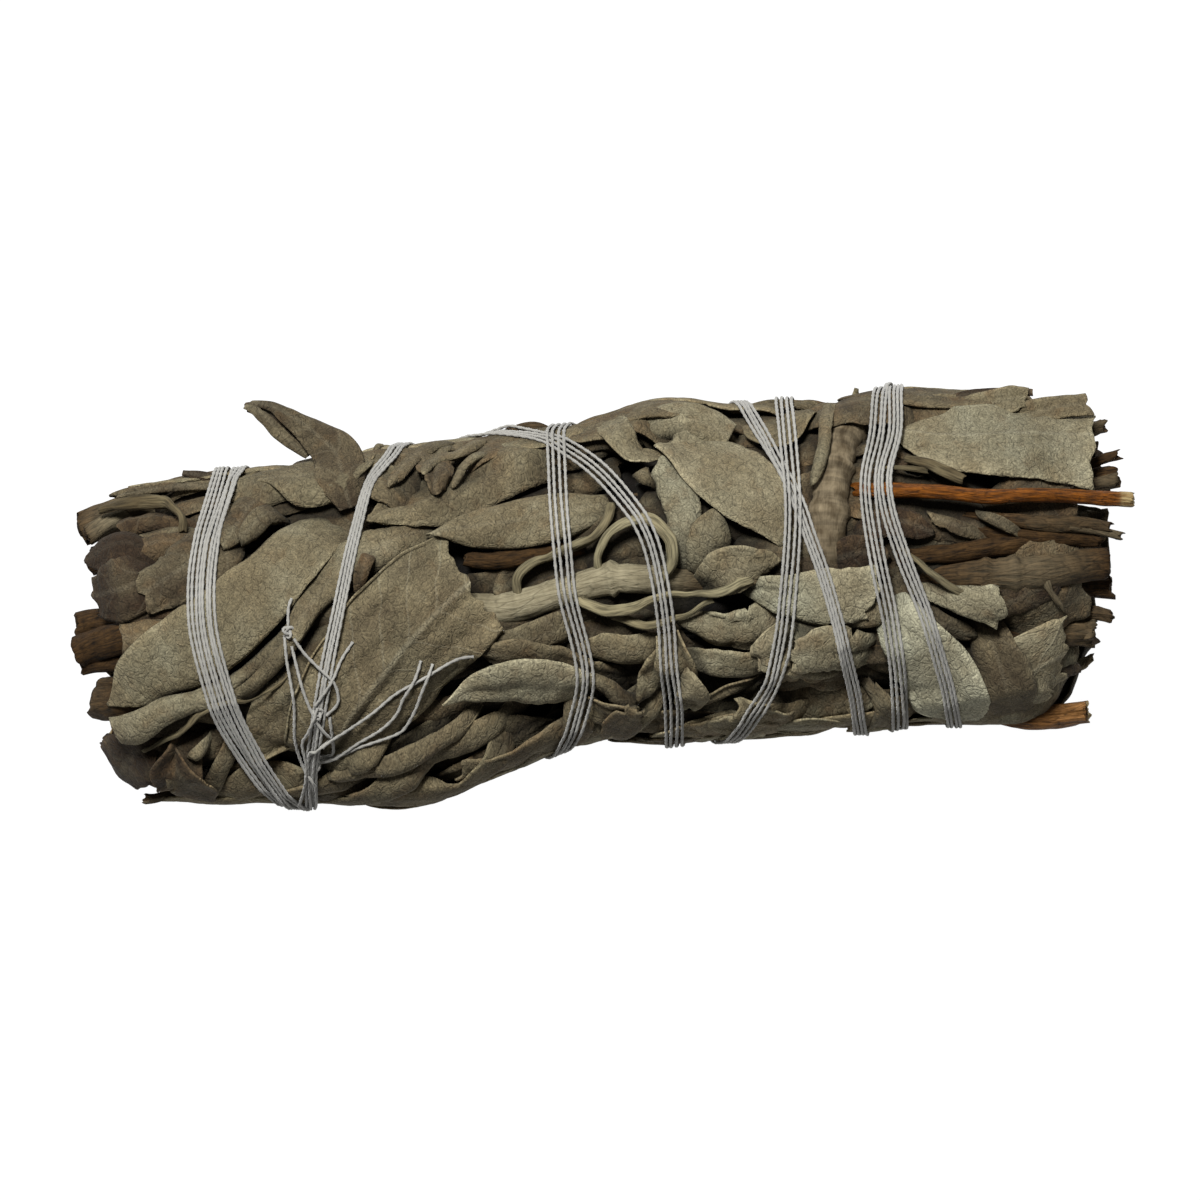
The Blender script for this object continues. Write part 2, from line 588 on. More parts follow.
def bark(name, light, dark, wood_colour, green_light, green_dark, streak=0.7, roughness=0.82, rings=0.1):
    """Dry bark: fine lengthwise streaks, splits and flakes, greener where it is young, and wood where cut."""
    material, tree = new_material(name)
    place = node(tree, "UVMap", uv_map="blade")
    long_streaks = node(tree, "Mapping", {"Vector": place, "Scale": (0.14, 1.0, 1.0)})
    streaks = node(tree, "TexNoise", {"Vector": long_streaks, "Scale": 3.6, "Detail": 5.0, "Roughness": 0.7})
    splits = node(tree, "TexVoronoi", {"Vector": long_streaks, "Scale": 2.2}, voronoi_dimensions="2D",
                  feature="DISTANCE_TO_EDGE")
    splits = node(tree, "MapRange", (splits, 0.0, 0.07, 1 - 0.55 * streak, 1.0))
    blotches = node(tree, "TexNoise", {"Vector": place, "Scale": 0.8, "Detail": 4.0})
    mixed = node(tree, "Math", (streaks, streak), operation="MULTIPLY")
    mixed = node(tree, "Math", (blotches, 1 - streak, mixed), operation="MULTIPLY_ADD")
    share = node(tree, "MapRange", (mixed, 0.38, 0.62))
    colour = node(tree, "Mix", {0: share, 6: linear(dark), 7: linear(light)}, out=2, data_type="RGBA")
    green = node(tree, "Mix", {0: share, 6: linear(green_dark), 7: linear(green_light)}, out=2,
                 data_type="RGBA")
    tone = node(tree, "Attribute", out="Fac", attribute_name="tone")
    colour = node(tree, "Mix", {0: tone, 6: colour, 7: green}, out=2, data_type="RGBA")
    colour = node(tree, "VectorMath", {0: colour, "Scale": splits}, operation="SCALE")
    crosswise = node(tree, "Mapping", {"Vector": place, "Scale": (1.0, 0.07, 1.0)})
    banded = node(tree, "TexNoise", {"Vector": crosswise, "Scale": 1.6, "Detail": 3.0})
    banded = node(tree, "MapRange", (banded, 0.38, 0.56, 1 - rings, 1 + 0.3 * rings))
    colour = node(tree, "VectorMath", {0: colour, "Scale": banded}, operation="SCALE")
    cut = node(tree, "Attribute", out="Fac", attribute_name="cut")
    colour = node(tree, "Mix", {0: cut, 6: colour, 7: linear(wood_colour)}, out=2, data_type="RGBA")
    raised = node(tree, "Math", (splits, 0.25, mixed), operation="MULTIPLY_ADD")
    relief = node(tree, "Bump", {"Strength": 1.0, "Distance": 0.0003, "Height": raised})
    surface = node(tree, "BsdfPrincipled", {"Base Color": colour, "Roughness": roughness,
                                            "Specular IOR Level": 0.12, "Normal": relief})
    node(tree, "OutputMaterial", {"Surface": surface}, out=None)
    return material


dry_bark = bark("dry_sage_bark", "#47331b", "#150e07", "#3d2f1e", "#8f876e", "#6d6550")
ringed_bark = bark("ringed_sage_bark", "#746853", "#463c2c", "#6a583d", "#746853", "#463c2c", streak=0.3,
                   rings=0.3)
peeled_wood = bark("peeled_sage_wood", "#7d4812", "#331c08", "#9a875f", "#9a875f", "#5f421d", streak=0.9,
                   roughness=0.5)

stem_pieces = {
    "sprig_1_stem": dict(
        path=seen((-52.8, -1.5, -1.0), (-46, 0.3, -1.6), (-36, 1, -3.2), (-22, 0.5, -3.4), (-13, -0.4, -1.6),
                  (-8.6, -0.5, 0.3), (-4, 0.5, 0.6), (0.5, 1.3, 0.7), (4.5, 1, 0.1), (11, 0.2, -2.4),
                  (22, -1.2, -4.8), (30, -1.6, -2.4), (37, -1.5, -0.4), (42, -1.7, -0.1), (49.8, -1.5, -0.5)),
        radii=[1.7, 1.6, 1.5, 1.5, 1.5, 1.5, 1.5, 1.6, 1.4, 1.4, 1.4, 1.3, 1.6, 1.9, 1.6],
        tones=[0, 0, 0, 0.2, 0.7, 1, 1, 1, 0.8, 0, 0, 0, 0.1, 0.25, 0], ridge=0.09,
        joints=[0.52, 0.88, 0.905]),
    "sprig_2_stem": dict(
        path=seen((-51.8, 12.2, -0.2), (-46, 13, 0.1), (-38, 12.8, -0.6), (-10, 11, -3.2), (20, 10.5, -3.2),
                  (44, 9.4, -3.4), (51.4, 9.2, -3.2)),
        radii=[1.7, 1.6, 1.5, 1.3, 1.2, 1.2, 1.3], tones=[0.05, 0.32, 0.35, 0.2, 0], ragged=0.9),
    "sprig_3_stem": dict(
        path=all_round((-51, 108, -3.2), (-20, 116, -4), (20, 122, -4), (50.6, 112, -2.8)),
        radii=[1.5, 1.4, 1.3, 1.5]),
    "sprig_4_stem": dict(
        path=all_round((-51.6, 176, -3), (-20, 184, -4), (20, 178, -4), (50.2, 186, -3)),
        radii=[1.9, 1.7, 1.4, 1.4]),
    "sprig_5_stem": dict(
        path=all_round((-50.4, -108, -1.8), (-20, -118, -3.6), (20, -112, -3), (34, -92, 0.6),
                       (40.5, -82, 2.6), (47.1, -80, 5.0)),
        radii=[1.1, 1.3, 1.3, 1.2, 1.2], tones=[0, 0, 0, 0.1, 0.2, 0.3], ragged=0.7),
    "sprig_6_stem": dict(
        path=seen((-50.8, -6.9, -1.2), (-46, -7, -1.2), (-38, -8, -2.6), (-10, -9.5, -4), (20, -9.5, -4),
                  (38, -8.8, -2.2), (48, -8.4, -0.8)),
        radii=[1.9, 2.1, 1.7, 1.4, 1.4, 1.6, 1.9], tones=[0.1, 0, 0, 0, 0, 0, 0.2], ridge=0.34, ragged=1.8),
    "sprig_7_stem": dict(
        path=seen((-52.9, 1.5, -3.4), (-46, 2.1, -4.6), (-20, 0, -9), (20, 0, -9), (40, -4.6, -3.4),
                  (50.4, -4.9, -2.2)),
        radii=[1.6, 1.5, 1.5, 1.4, 1.1, 1.1]),
    "bare_stem": dict(
        path=[*seen((22.2, 1, -1.4), (22.4, 3, -0.3), (22.7, 5.4, 0.2), (23.6, 9.5, 0.3), (25.3, 13.6, 0.2)),
              *all_round((27.6, 80, 0), (30.4, 104, -0.2))],
        radii=[1.5, 1.8, 1.9, 1.85, 1.8, 1.6, 1.4], joints=[0.2, 0.23, 0.4, 0.62], ridge=0.05),
    "peeled_twig": dict(
        path=seen((25.6, 8, 0.2), (29, 7.6, 1.5), (34, 7, 2.4), (43.4, 5.9, 2.6), (51, 4.9, 1.8),
                  (51.9, 4.8, 1.7), (53.2, 4.6, 1.4)),
        radii=[0.75, 0.8, 0.75, 0.72, 0.72, 0.76], tones=[0, 0, 0, 0, 0, 1, 1], ridge=0.09, sides=20,
        ragged=0.5),
}
# Short pieces of stem beside the main ones: side shoots snipped off, and splinters.
SIDE_SHOOTS = {
    "sprig_1_stem": [
        ([(29, 0.9, -0.9), (34, 1, -0.3), (39.6, 1.2, 0), (45, 1.6, -0.4)], [0.9, 1.0, 1.1, 0.8], [0]),
        ([(-13.6, 4.5, 0), (-9, 4.1, 0.5), (-1.6, 4.7, 0)], [0.7, 0.85, 0.7], [0]),
        ([(-52.6, -3.4, -1.4), (-47.6, -3.2, -2.2)], [0.8], [0]),
        ([(51.6, 1.2, 0.4), (46, 2.7, 0.9), (40, 3.8, 0.6), (36, 4.8, -0.2)], [0.5, 0.65, 0.6, 0.3],
         [0.3, 0.2, 0]),
        ([(50.6, 2.2, 0.8), (45, 3, 1.1), (38.4, 4.2, 0.4)], [0.5, 0.8, 0.4], [0.1]),
        ([(49.4, 0.9, 0), (43, 1.9, 0.4), (37.4, 3, -0.2)], [0.6, 0.7, 0.4], [0]),
        ([(43.2, -1, 0.9), (43.8, -3, 1.4), (45.2, -5.6, 1)], [0.5, 0.4, 0.3], [0.4]),
    ],
    "sprig_2_stem": [
        ([(-51.2, 10.6, -0.6), (-48.6, 11.6, -0.2), (-45, 12.4, -0.6)], [1.0, 0.9, 0.7], [0.1, 0.5]),
        ([(-51, 13.3, -0.2), (-48, 13.9, -0.1), (-42, 14, -0.8)], [0.9, 1.0, 0.8], [0.1, 0.5]),
        ([(-8.2, 16.5, 2.8), (-5.4, 16.7, 2.8), (-2, 15.4, 0.2)], [0.85], [0.1]),
        ([(51.4, 13.4, -0.4), (46, 13.4, -1.6)], [0.8], [0.2]),
        ([(52.2, 10.3, -1.2), (46, 10.2, -2.6)], [0.6], [0]),
        ([(51.8, 8, -2), (46, 8, -3)], [0.7], [0.2]),
    ],
    "sprig_6_stem": [
        ([(-49.4, -14.6, 1.3), (-46.4, -13.6, 0.8), (-42, -12.6, -0.6)], [0.9, 0.85, 0.7], [0.3]),
        ([(-50.8, -10.4, 0), (-46.4, -10.8, -0.6)], [0.8], [0.1]),
        ([(-47.6, -16.4, 3), (-43, -15.6, 1)], [0.6], [0.3]),
        ([(50, -7, -0.4), (45, -6.6, -1.4)], [0.7], [0.1]),
    ],
}
STEM_FINISHES = {
    # the piece's name, its finish and its slot, where they aren't a sprig's own
    "sprig_5_stem": ("sprig_5_wood", peeled_wood, "woody_stem"),
    "bare_stem": ("bare_stem_wood", ringed_bark, "beige_bark"),
    "peeled_twig": ("peeled_twig_wood", peeled_wood, "peeled_wood"),
}
for k, (cad_node, stem) in enumerate(stem_pieces.items()):
    usual_finish = (cad_node.replace("stem", "wood"), dry_bark, "woody_stem")
    name, material, slot = STEM_FINISHES.get(cad_node, usual_finish)
    parts = [grown(seed=300 + 10 * k, **stem)]
    for n, (path, radii, tones) in enumerate(SIDE_SHOOTS.get(cad_node, [])):
        parts.append(grown(seen(*path), radii, 700 + 40 * k + 7 * n, tones, sides=20, ragged=0.5))
    piece = mesh_piece(name, parts, material)
    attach(piece, "root")
    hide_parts(cad_node)

# ---------------------------------------------------------------------------------------------------------
# The outer leaves on the upper side, from the lowest up.

UP, FLAT = 2.6, (0, 0)
UNCREASED = ((0.5, 0), (0.5, 0))

# Leaves along both flanks, where the bunch turns under.
draw = np.random.default_rng(23)
for k in range(40):
    x = -45 + 8.2 * (k // 4) + draw.uniform(-1, 1)
    turn = (84 if k % 2 else -84) + draw.uniform(-8, 8)
    lift = 0.3 + 0.8 * (k // 2 % 2)
    lighter = 0.5 if turn < 0 and x > 0 else 0
    path = [(x + 15 * share, turn + 5 * draw.uniform(-1, 1), lift - (2 if share == 0 else 0))
            for share in (0, 0.25, 0.75, 1)]
    add_leaf(all_round(*path), draw.uniform(2.6, 3.6), 120 + k, bow=0.2,
             tint=draw.uniform(-0.9, -0.4) + lighter, age=draw.uniform(0.3, 0.7),
             tip=draw.choice(["round", "torn"]), step=0.5, pressed=False)
for k in range(34):
    x = -44 + 5.5 * (k // 2) + draw.uniform(-2, 2)
    turn = (82 if k % 2 else -82) + draw.uniform(-13, 13)
    ahead = draw.choice([-1, 1]) if abs(x) < 30 else -math.copysign(1, x)
    sunk = 1.3 if turn > 0 and x > 12 else 0
    lighter = 0.6 if turn < 0 and x > 0 else 0
    path = [(x + 15 * ahead * share, turn + 6 * draw.uniform(-1, 1), lift - sunk)
            for share, lift in ((0, FOOT if abs(x) < 36 else -0.3), (0.3, 0.2), (0.7, 0.5), (1, 0.2))]
    add_leaf(all_round(*path), draw.uniform(2.2, 3.4), 160 + k, bow=draw.uniform(0, 0.8),
             tint=draw.uniform(-0.7, -0.2) + lighter, age=draw.uniform(0.2, 0.7),
             tip=draw.choice(["round", "torn"]))

# Lowest leaves.
lay(LOW, [(-37.6, 14), (-43, 14.6), (-48.6, 14)], 1.5, 2, bow=0.8, tint=-0.6, age=0.5)
lay(1.4, [(-34.4, 14.6), (-37.5, 15.2), (-40.6, 15.5, 1.8)], 0.7, 14, bow=1.2, tint=-0.6)
lay(LOW, [(-33.4, -12.4), (-38, -14.8), (-42, -16.2, 0.9), (-47, -16.6, 0.8)], 1.9, 3, tint=-0.2, tip="torn",
    rolls=FLAT)
lay(0.8, [(-10.6, -14.6), (-15.6, -15.6), (-21.4, -16)], 2.6, 105, tint=-0.6)
lay(1.4, [(-10.6, -15), (-15.6, -16.4, 1.6), (-20.6, -17.2, 2.0), (-26, -16.8)], 2.2, 112, tint=-0.5)
lay(0.5, [(10.4, -14.6), (5.6, -15.2), (0.6, -15)], 2.4, 106, tint=-0.6)
lay(LOW, [(-41.6, -13), (-44.6, -13.6), (-47.2, -13.6)], 1.5, 111, tint=-0.9, age=0.7, tip="torn", ragged=1.6,
    rolls=FLAT)
lay(LOW, [(-14.4, -10.8), (-22, -13.3), (-28, -15.2, 1), (-34, -15.4, 0.8)], 1.4, 4, bow=0.8, tint=-0.25)
lay(LOW, [(-5.4, -11.4), (-10.5, -14.4), (-15.4, -17.2, 1.6)], 1.5, 5, tint=-0.35)
lay(LOW, [(6.6, -6.2), (1.5, -5.6), (-3, -4.9)], 1.6, 6, tint=0, bow=0.7)
lay(LOW, [(-2.4, -2.7), (-7.5, -3.6), (-12.5, -4.3)], 1.5, 7, tint=-0.3, bow=0.7)
lay(LOW, [(25.2, -10.4), (20, -9.8), (15.8, -10.8)], 1.5, 8, tint=-0.4, age=0.5)
lay(LOW, [(25.4, -14.4), (30, -15.2), (35, -16.2, 0.8)], 1.5, 9, tint=-0.2)
lay(LOW, [(29.4, -3), (25, -3.9), (21, -4.4)], 1.6, 10, tint=0.3, age=0.5)
lay(LOW, [(22.6, 1.2), (25.5, 1.8), (28.4, 1.2)], 1.6, 11, tint=-1.3, age=0.6)
lay(LOW, [(-24, -5), (-27.6, -8.5), (-31.5, -12.6)], 2.4, 12, tint=-0.2)
lay(LOW, [(12, -14.8), (5, -14.4), (-1, -15, 0.8)], 1.5, 13, tint=-0.4)
lay(2.6, [(-9.4, -13.4, 0), (-15, -16.6), (-21, -18.2, 3.4), (-27.5, -17.6)], (1.2, 2.4, 2.6, 0.8), 103,
    bow=0.5, tint=-0.2)
lay(LOW, [(-17.6, 10.4), (-15.8, 10.8), (-13.4, 11.4)], 0.8, 15, bow=1.4, tint=-0.3)
lay(0.9, [(-3, 14.8), (1, 15.6), (5, 16.4, 1.0)], 1.8, 16, tint=-0.2, bow=0.6)
lay(-0.4, [(24.6, 3.4), (29, 4.4), (33, 3)], 1.3, 17, tint=-1.6, age=0.4)
lay(LOW, [(31, -4.4), (33.4, -6), (36.4, -7.8)], 1.3, 52, tint=-0.6)
lay(LOW, [(6, 10.6), (5, 10.9), (3.8, 11.4)], 1.0, 18, tint=-0.3, bow=1.3)

# Middle leaves.
lay(MID, [(-42.6, 8.1), (-47, 8.8), (-51.4, 7.6, 0.3)], (1.6, 2.7, 1.6), 1, bow=1.0, rolls=FLAT, tint=-2.6,
    age=0, veined=0.05, creases=UNCREASED, wave=0.12)
lay(LOW, [(-43.6, 7), (-47, 4.6, MID), (-51.9, 4.2)], (1.6, 3.0, 1.7), 21, tip="torn", rolls=FLAT, tint=-0.9,
    age=0.1, wave=0.3)
lay(MID, [(-33.8, 12), (-38, 8.4), (-42, 5.6), (-46.5, 3.4)], (1.4, 2.8, 3.1, 1.9), 22, rolls=FLAT, tint=-0.6,
    age=0.2, bow=0.5, tip="torn", pleat=0.4)
lay(MID, [(-33, 11.8), (-35.6, 9.5), (-37.4, 7.2)], 1.6, 23, tint=-0.55, age=0.5)
lay(MID, [(-31, 10.8), (-33.2, 9.6), (-35.6, 7.4)], 1.2, 19, tint=-0.4)
lay(MID, [(-36, -11.8), (-41, -12.3), (-45, -12), (-48.6, -11)], (1.6, 2.4, 2.2, 1.4), 24, tint=-0.7, age=0.5,
    ragged=1.6, tip="torn", rolls=FLAT)
lay(MID, [(-39, -8.2), (-44, -9.2), (-48.4, -9.3)], 1.2, 25, bow=0.8, tint=-0.5, tip="torn", rolls=FLAT)
lay(LOW, [(-37.2, -10.4), (-40.6, -14), (-42.2, -15.6)], 1.0, 26, bow=0.5, tint=-0.3, tip="torn", rolls=FLAT)
lay(MID, [(-40, -10.6), (-41.4, -11.2), (-42.8, -12.2)], 0.5, 91, bow=1.5, tint=0.1, tip="torn")
lay(MID, [(-25.6, 0.4), (-29, -5), (-32.5, -9), (-36.8, -13)], 3.3, 27, tint=-0.1, rolls=(0, UP))
lay(MID, [(-27.4, 3.6), (-31.6, -1.4), (-36, -4.9), (-40.6, -7)], 0.9, 92, bow=1.8, tint=0.05)
lay(LOW, [(-28.4, 1.2), (-32, -2.6), (-36, -5.9), (-40, -7.8)], 0.8, 93, bow=1.6, tint=-0.2)
lay(MID, [(-14.4, 8.2), (-20.5, 6.7), (-26, 4.4), (-31.2, -1.6)], (1.8, 2.4, 2.2, 1.1), 28, bow=0.8,
    tint=0.05, tip="cut")
lay(LOW, [(-22.6, 5.6), (-23.6, 3.8), (-24.6, 2.1)], 0.8, 29, tint=-0.6, age=0.9)
lay(MID, [(3.4, -10.6), (-3.5, -7.6, LOW), (-9, -5.4), (-13, -4.6)], 2.1, 30, tint=-0.4)
lay(MID, [(2.4, -11), (-5, -8.6), (-11, -8), (-17, -9.6)], (0.5, 2.4, 2.7, 0.6), 31, tint=0.6, bow=0.4,
    rolls=FLAT, ragged=0.15, pleat=0.15, creases=((0.5, 0), (0.55, 0.5)))
lay(1.2, [(-8.5, -10.8), (-15, -12.9, MID), (-22, -15), (-30.5, -16.8)], 1.6, 32, bow=0.8, tint=-0.2)
lay(1.6, [(-9.8, -11.4), (-14, -14.6, MID), (-19.5, -17), (-26, -17.8)], 1.9, 33, tint=-0.3)
lay(MID, [(-12.4, -10.4), (-17, -12.3), (-23, -13.9), (-29, -14.8)], 0.9, 94, bow=1.5, tint=-0.2)
lay(MID, [(-3.4, -13.3), (-7, -14), (-12.4, -16.6, 1.6)], 1.3, 34, tint=-0.35)
lay(MID, [(-1.6, 13.6), (-9, 12.6), (-16, 10.4), (-23, 9)], 3.0, 35, tint=-0.1, rolls=FLAT)
lay(HIGH, [(0.8, 14.6), (3.4, 13.9), (7.6, 12.8, MID)], (0.8, 1.6, 0.6), 37, tint=0.1, rolls=FLAT, ragged=1.4)
lay(HIGH, [(6.4, 0.4), (8, 4.4, MID), (8.3, 8.6), (5.8, 13)], (0.8, 1.5, 1.9, 1.0), 38, bow=0.7, tint=0.6,
    rolls=FLAT, tip="torn")
lay(MID, [(9.4, 0.8), (10.8, 4.3), (11.8, 7.4)], 2.2, 39, bow=0.9, tint=0.2, rolls=FLAT)
lay(MID, [(20, -2.8), (14, -5.2), (7, -3.6)], (1.6, 2.4, 1.2), 40, bow=0.7, tint=0.25, wave=0.6, pleat=0.5)
lay(MID, [(18.6, -8.4), (11, -8), (6, -6.4)], (1.2, 1.7, 0.6), 41, tint=0.25, wave=0.5, ragged=1.4,
    rolls=FLAT)
lay(MID, [(6.2, -9.1), (0.5, -12.1), (-4.4, -14, 1.3)], (1.3, 2.2, 0.5), 42, tint=0.1, bow=0.7, rolls=FLAT)
lay(LOW, [(3.2, -10.4), (0.6, -9.4), (-2, -7.2)], 0.9, 43, bow=1.0, tint=-0.4)
lay(MID, [(15, -12), (11.5, -12.8), (8.4, -12.5)], 2.3, 44, tint=0.2, wave=0.6, tip="torn")
lay(MID, [(16.4, -10), (11.6, -10.4), (7.5, -11.8)], 0.9, 45, tint=-0.3)
lay(MID, [(23.6, -13.2), (19.5, -13.4), (15.6, -13.6)], 1.9, 46, rolls=(0, UP), tint=0.2)
for k in range(3):
    lay(MID, [(24.4 + 0.7 * k, -10.8, 0), (26.3 + 0.8 * k, -12.8), (24.8 + 0.9 * k, -15.4, 1.2)], 0.7, 95 + k,
        bow=1.5, tint=-0.3)
lay(0.3, [(24.4, 15.8), (19, 15.8), (13.6, 15.6)], 1.5, 47, bow=0.8, tint=-0.4)
lay(0.6, [(24.6, 16.4), (20, 16.4, 0.8), (16.4, 15.9)], 0.7, 98, bow=1.4, tint=-0.2)
lay(MID, [(22.6, 16.2), (18.8, 13.9), (15.2, 15.2)], 1.9, 48, tint=-0.15)
lay(MID, [(24.4, 15.8), (23, 12), (21.4, 8.2)], 0.7, 99, bow=1.2, tint=0)
lay(LOW, [(38.4, 2.2), (34.6, 3.8), (31.6, 5.4)], (0.3, 0.8, 0.4), 49, tint=-0.5, rolls=FLAT, bow=0,
    tip="torn", creases=((0.5, 0.9), (0.5, 0.2)))
lay(LOW, [(42, 2), (39, 3.6), (36.6, 5)], (0.3, 0.5, 0.3), 50, tint=-0.4, bow=0.4, tip="torn")
lay(HIGH, [(28.8, -2.2), (33.6, -3.2, MID), (37, -4.2), (39.8, -5)], (0.3, 0.8, 1.6, 2.2), 51, tip="torn",
    tint=0.5, rolls=FLAT, bow=0.2, torn=0.6)
lay(MID, [(37.6, -12.6), (41.6, -10.9), (46.2, -9.4)], (2.8, 3.9, 3.7), 53, tip="torn", tint=0.35, wave=0.12,
    rolls=FLAT, veined=0.6, rib=-0.2, pleat=0.1, bow=0.2, creases=UNCREASED)
lay(MID, [(36.4, -5.4), (38.6, -10.5), (40.2, -16.2)], (1.8, 2.9, 1.4), 54, tint=-0.45, age=0, wave=0.15,
    rolls=FLAT, creases=UNCREASED)

# Torn and crumpled smaller leaves, jumbled where no large leaf lies over the pile.
JUMBLES = [
    # x and y they lie between, how many, and how pale they are
    ((4, 27), (-15, -5), 11, 0.25),
    ((-24, -10), (9.5, 14), 4, -0.3),
    ((-49, -40), (-15, -10.5), 3, -0.9),
    ((-5, 3), (-13.5, -9), 3, -0.2),
]
draw = np.random.default_rng(88)
for (from_x, to_x), (from_y, to_y), count, paleness in JUMBLES:
    for k in range(count):
        middle_x = from_x + (to_x - from_x) * (k + draw.uniform(0, 1)) / count
        middle = np.array([middle_x, draw.uniform(from_y, to_y)])
        heading = draw.uniform(0, 2 * math.pi)
        ahead = np.array([math.cos(heading), 0.6 * math.sin(heading)]) * draw.uniform(3, 4.5)
        folds = tuple((0.4, draw.choice([-1, 1]) * draw.uniform(0.5, 1.3)) for side in (0, 1))
        lay(LOW, [(*(middle - ahead), -0.9), middle, middle + ahead], (1.4, draw.uniform(1.8, 2.7), 1.2),
            900 + k + int(10 * from_x + 600), tip="torn", rolls=FLAT, wave=draw.uniform(0.5, 0.9),
            creases=folds, tint=paleness + draw.uniform(-0.3, 0.3), age=draw.uniform(0.1, 0.6), ragged=1.8,
            bow=draw.uniform(-0.5, 0.3), pleat=draw.uniform(0.3, 0.6))

# Highest leaves.
lay(HIGH, [(-24.6, 10.6), (-29.7, 7.4), (-33.6, 3.7), (-37.4, 0.5), (-41.4, -2.0), (-45.7, -4.0),
           (-50.2, -6.2, MID)], (2.0, 3.2, 3.5, 3.7, 3.8, 2.7, 0.5), 71, ragged=0.25, bow=0.3, wave=0.16,
    tint=0.08, age=0.05, veined=0.05, rolls=FLAT, creases=((0.6, 0.3), (0.7, 0.35)), pleat=0.12)
lay(MID, [(-37.5, -5.6, LOW), (-41, -6.8), (-45, -7.4), (-49.6, -8.5)], (0.7, 0.9, 1.2, 1.1), 72, tip="cut",
    ragged=0.2, bow=2.4, rolls=FLAT, tint=0.2, age=0.1, creases=UNCREASED)
lay(HIGH, [(-22.4, 13.6), (-25, 14), (-28, 13.2), (-33.6, 12.9, MID)], (1.6, 2.9, 3.2, 0.6), 73, tint=-0.1,
    rolls=FLAT, ragged=0.2, wave=0.15)
lay(HIGH, [(-31.4, -15), (-27.2, -10.8), (-22.4, -5.8), (-17.4, -1), (-12.6, 2.4, MID)],
    (2.4, 4.7, 6.4, 6.8, 5.6), 74, torn=0.7, tip="torn", bow=0.35, rolls=(0, UP), roll_radius=0.25, wave=0.3,
    tint=-0.15, age=0.05, rib=-0.45, veined=0.4, ragged=0.25, creases=((0.55, 0.35), (0.6, -0.2)), pleat=0.42)
lay(HIGH, [(1.2, 8.8, 0), (-3.5, 8.3), (-8, 7.9), (-12.5, 7.5), (-17.2, 7, MID)], (1.3, 2.6, 2.7, 2.0, 0.4),
    75, bow=0.7, rolls=FLAT, tint=0.05, wave=0.16, ragged=0.2, veined=0.15)
lay(HIGH, [(2, 15.8), (-4, 15), (-10.2, 14.8)], 2.1, 76, tint=0, tip="torn", rolls=FLAT)
lay(HIGH, [(-11, 14.8), (-15.5, 15), (-18.3, 13.6), (-20.5, 11.2)], 1.4, 77, bow=1.2, tint=-0.3)
lay(MID, [(-9.6, 14.2), (-12.4, 13.6), (-15.5, 12.9), (-17, 11.4)], 0.7, 78, bow=2.2, tint=-0.2)
lay(MID, [(-9.4, 12.7), (-12, 12.4), (-14.2, 10.7)], 0.6, 79, bow=2.2, tint=-0.1)
lay(MID, [(-22, 14.6), (-21.2, 16.2), (-20.6, 17.2)], 1.0, 80, bow=2.2, tint=-0.2)
lay(HIGH, [(18.2, 3.4, 0.4), (15.7, 8.1), (12.5, 11.5), (7.6, 14.2, MID)], (0.7, 3.5, 3.9, 2.3), 81,
    tip="cut", bow=0.2, wave=0.14, rib=0, tint=0.3, age=0.05, rolls=FLAT, ragged=0.2, veined=0.1,
    creases=UNCREASED, pleat=0.06)
lay(HIGH, [(9, -0.4), (12, 1), (17.8, 1.4, MID)], (1.0, 2.4, 1.5), 82, tint=0.2, rolls=FLAT, tip="torn",
    creases=((0.4, 1.1), (0.4, -0.9)), ragged=1.3)
lay(HIGH, [(12.8, -0.4), (17, -1.6), (22, -2.3), (27.6, -2.5)], (0.4, 1.9, 2.5, 2.4), 83, tip="torn",
    tint=0.6, wave=0.35, age=0.0, rolls=FLAT, ragged=1.2)
lay(HIGH, [(6.3, -7.4), (7.8, -10), (6.5, -12.3)], 1.6, 84, bow=0.6, tint=0.2, rolls=FLAT, tip="torn")
lay(HIGH, [(27.6, -8.4), (21.5, -7), (16.8, -7.2, MID)], (1.4, 2.2, 1.5), 85, tip="torn", wave=0.8, tint=0.4,
    age=0.45, ragged=1.6, pleat=0.5)
lay(HIGH, [(29.4, 13.2, 0), (35, 12.5), (40, 12.1), (45, 11.8), (50.3, 11.2)], (0.5, 3.5, 4.7, 5.3, 5.8), 86,
    torn=0.4, tip="torn", bow=0.2, wave=0.15, tint=0.35, age=0.12, rib=-0.2, rolls=FLAT, ragged=0.4,
    veined=0.28, creases=((0.5, 0.1), (0.5, 0.15)))
lay(HIGH, [(27.2, -2.8), (29.4, -6.6), (32, -10.6), (35.9, -15.6, MID)], (1.6, 3.4, 4.1, 1.2), 87, bow=0.3,
    wave=0.15, tint=1.05, age=0.0, rolls=FLAT, ragged=0.2, veined=0.15)

# One leaf stands away from the bunch, folded lengthwise and bent up where the thread caught its foot.
STANDING_LEAF = [(-24.4, 10.6, 24.2), (-25, 13.3, 23.4), (-25.4, 16, 21.2), (-27.1, 18, 19.6),
                 (-29.1, 19.8, 18.8), (-31.6, 21.5, 18.0), (-34.5, 22.3, 17.2)]
STANDING_HALF = (1.2, 2.6, 2.5, 1.9, 1.25, 0.7, 0.35)
STANDING_FACING = np.array([0.1, 0.35, 1.0])


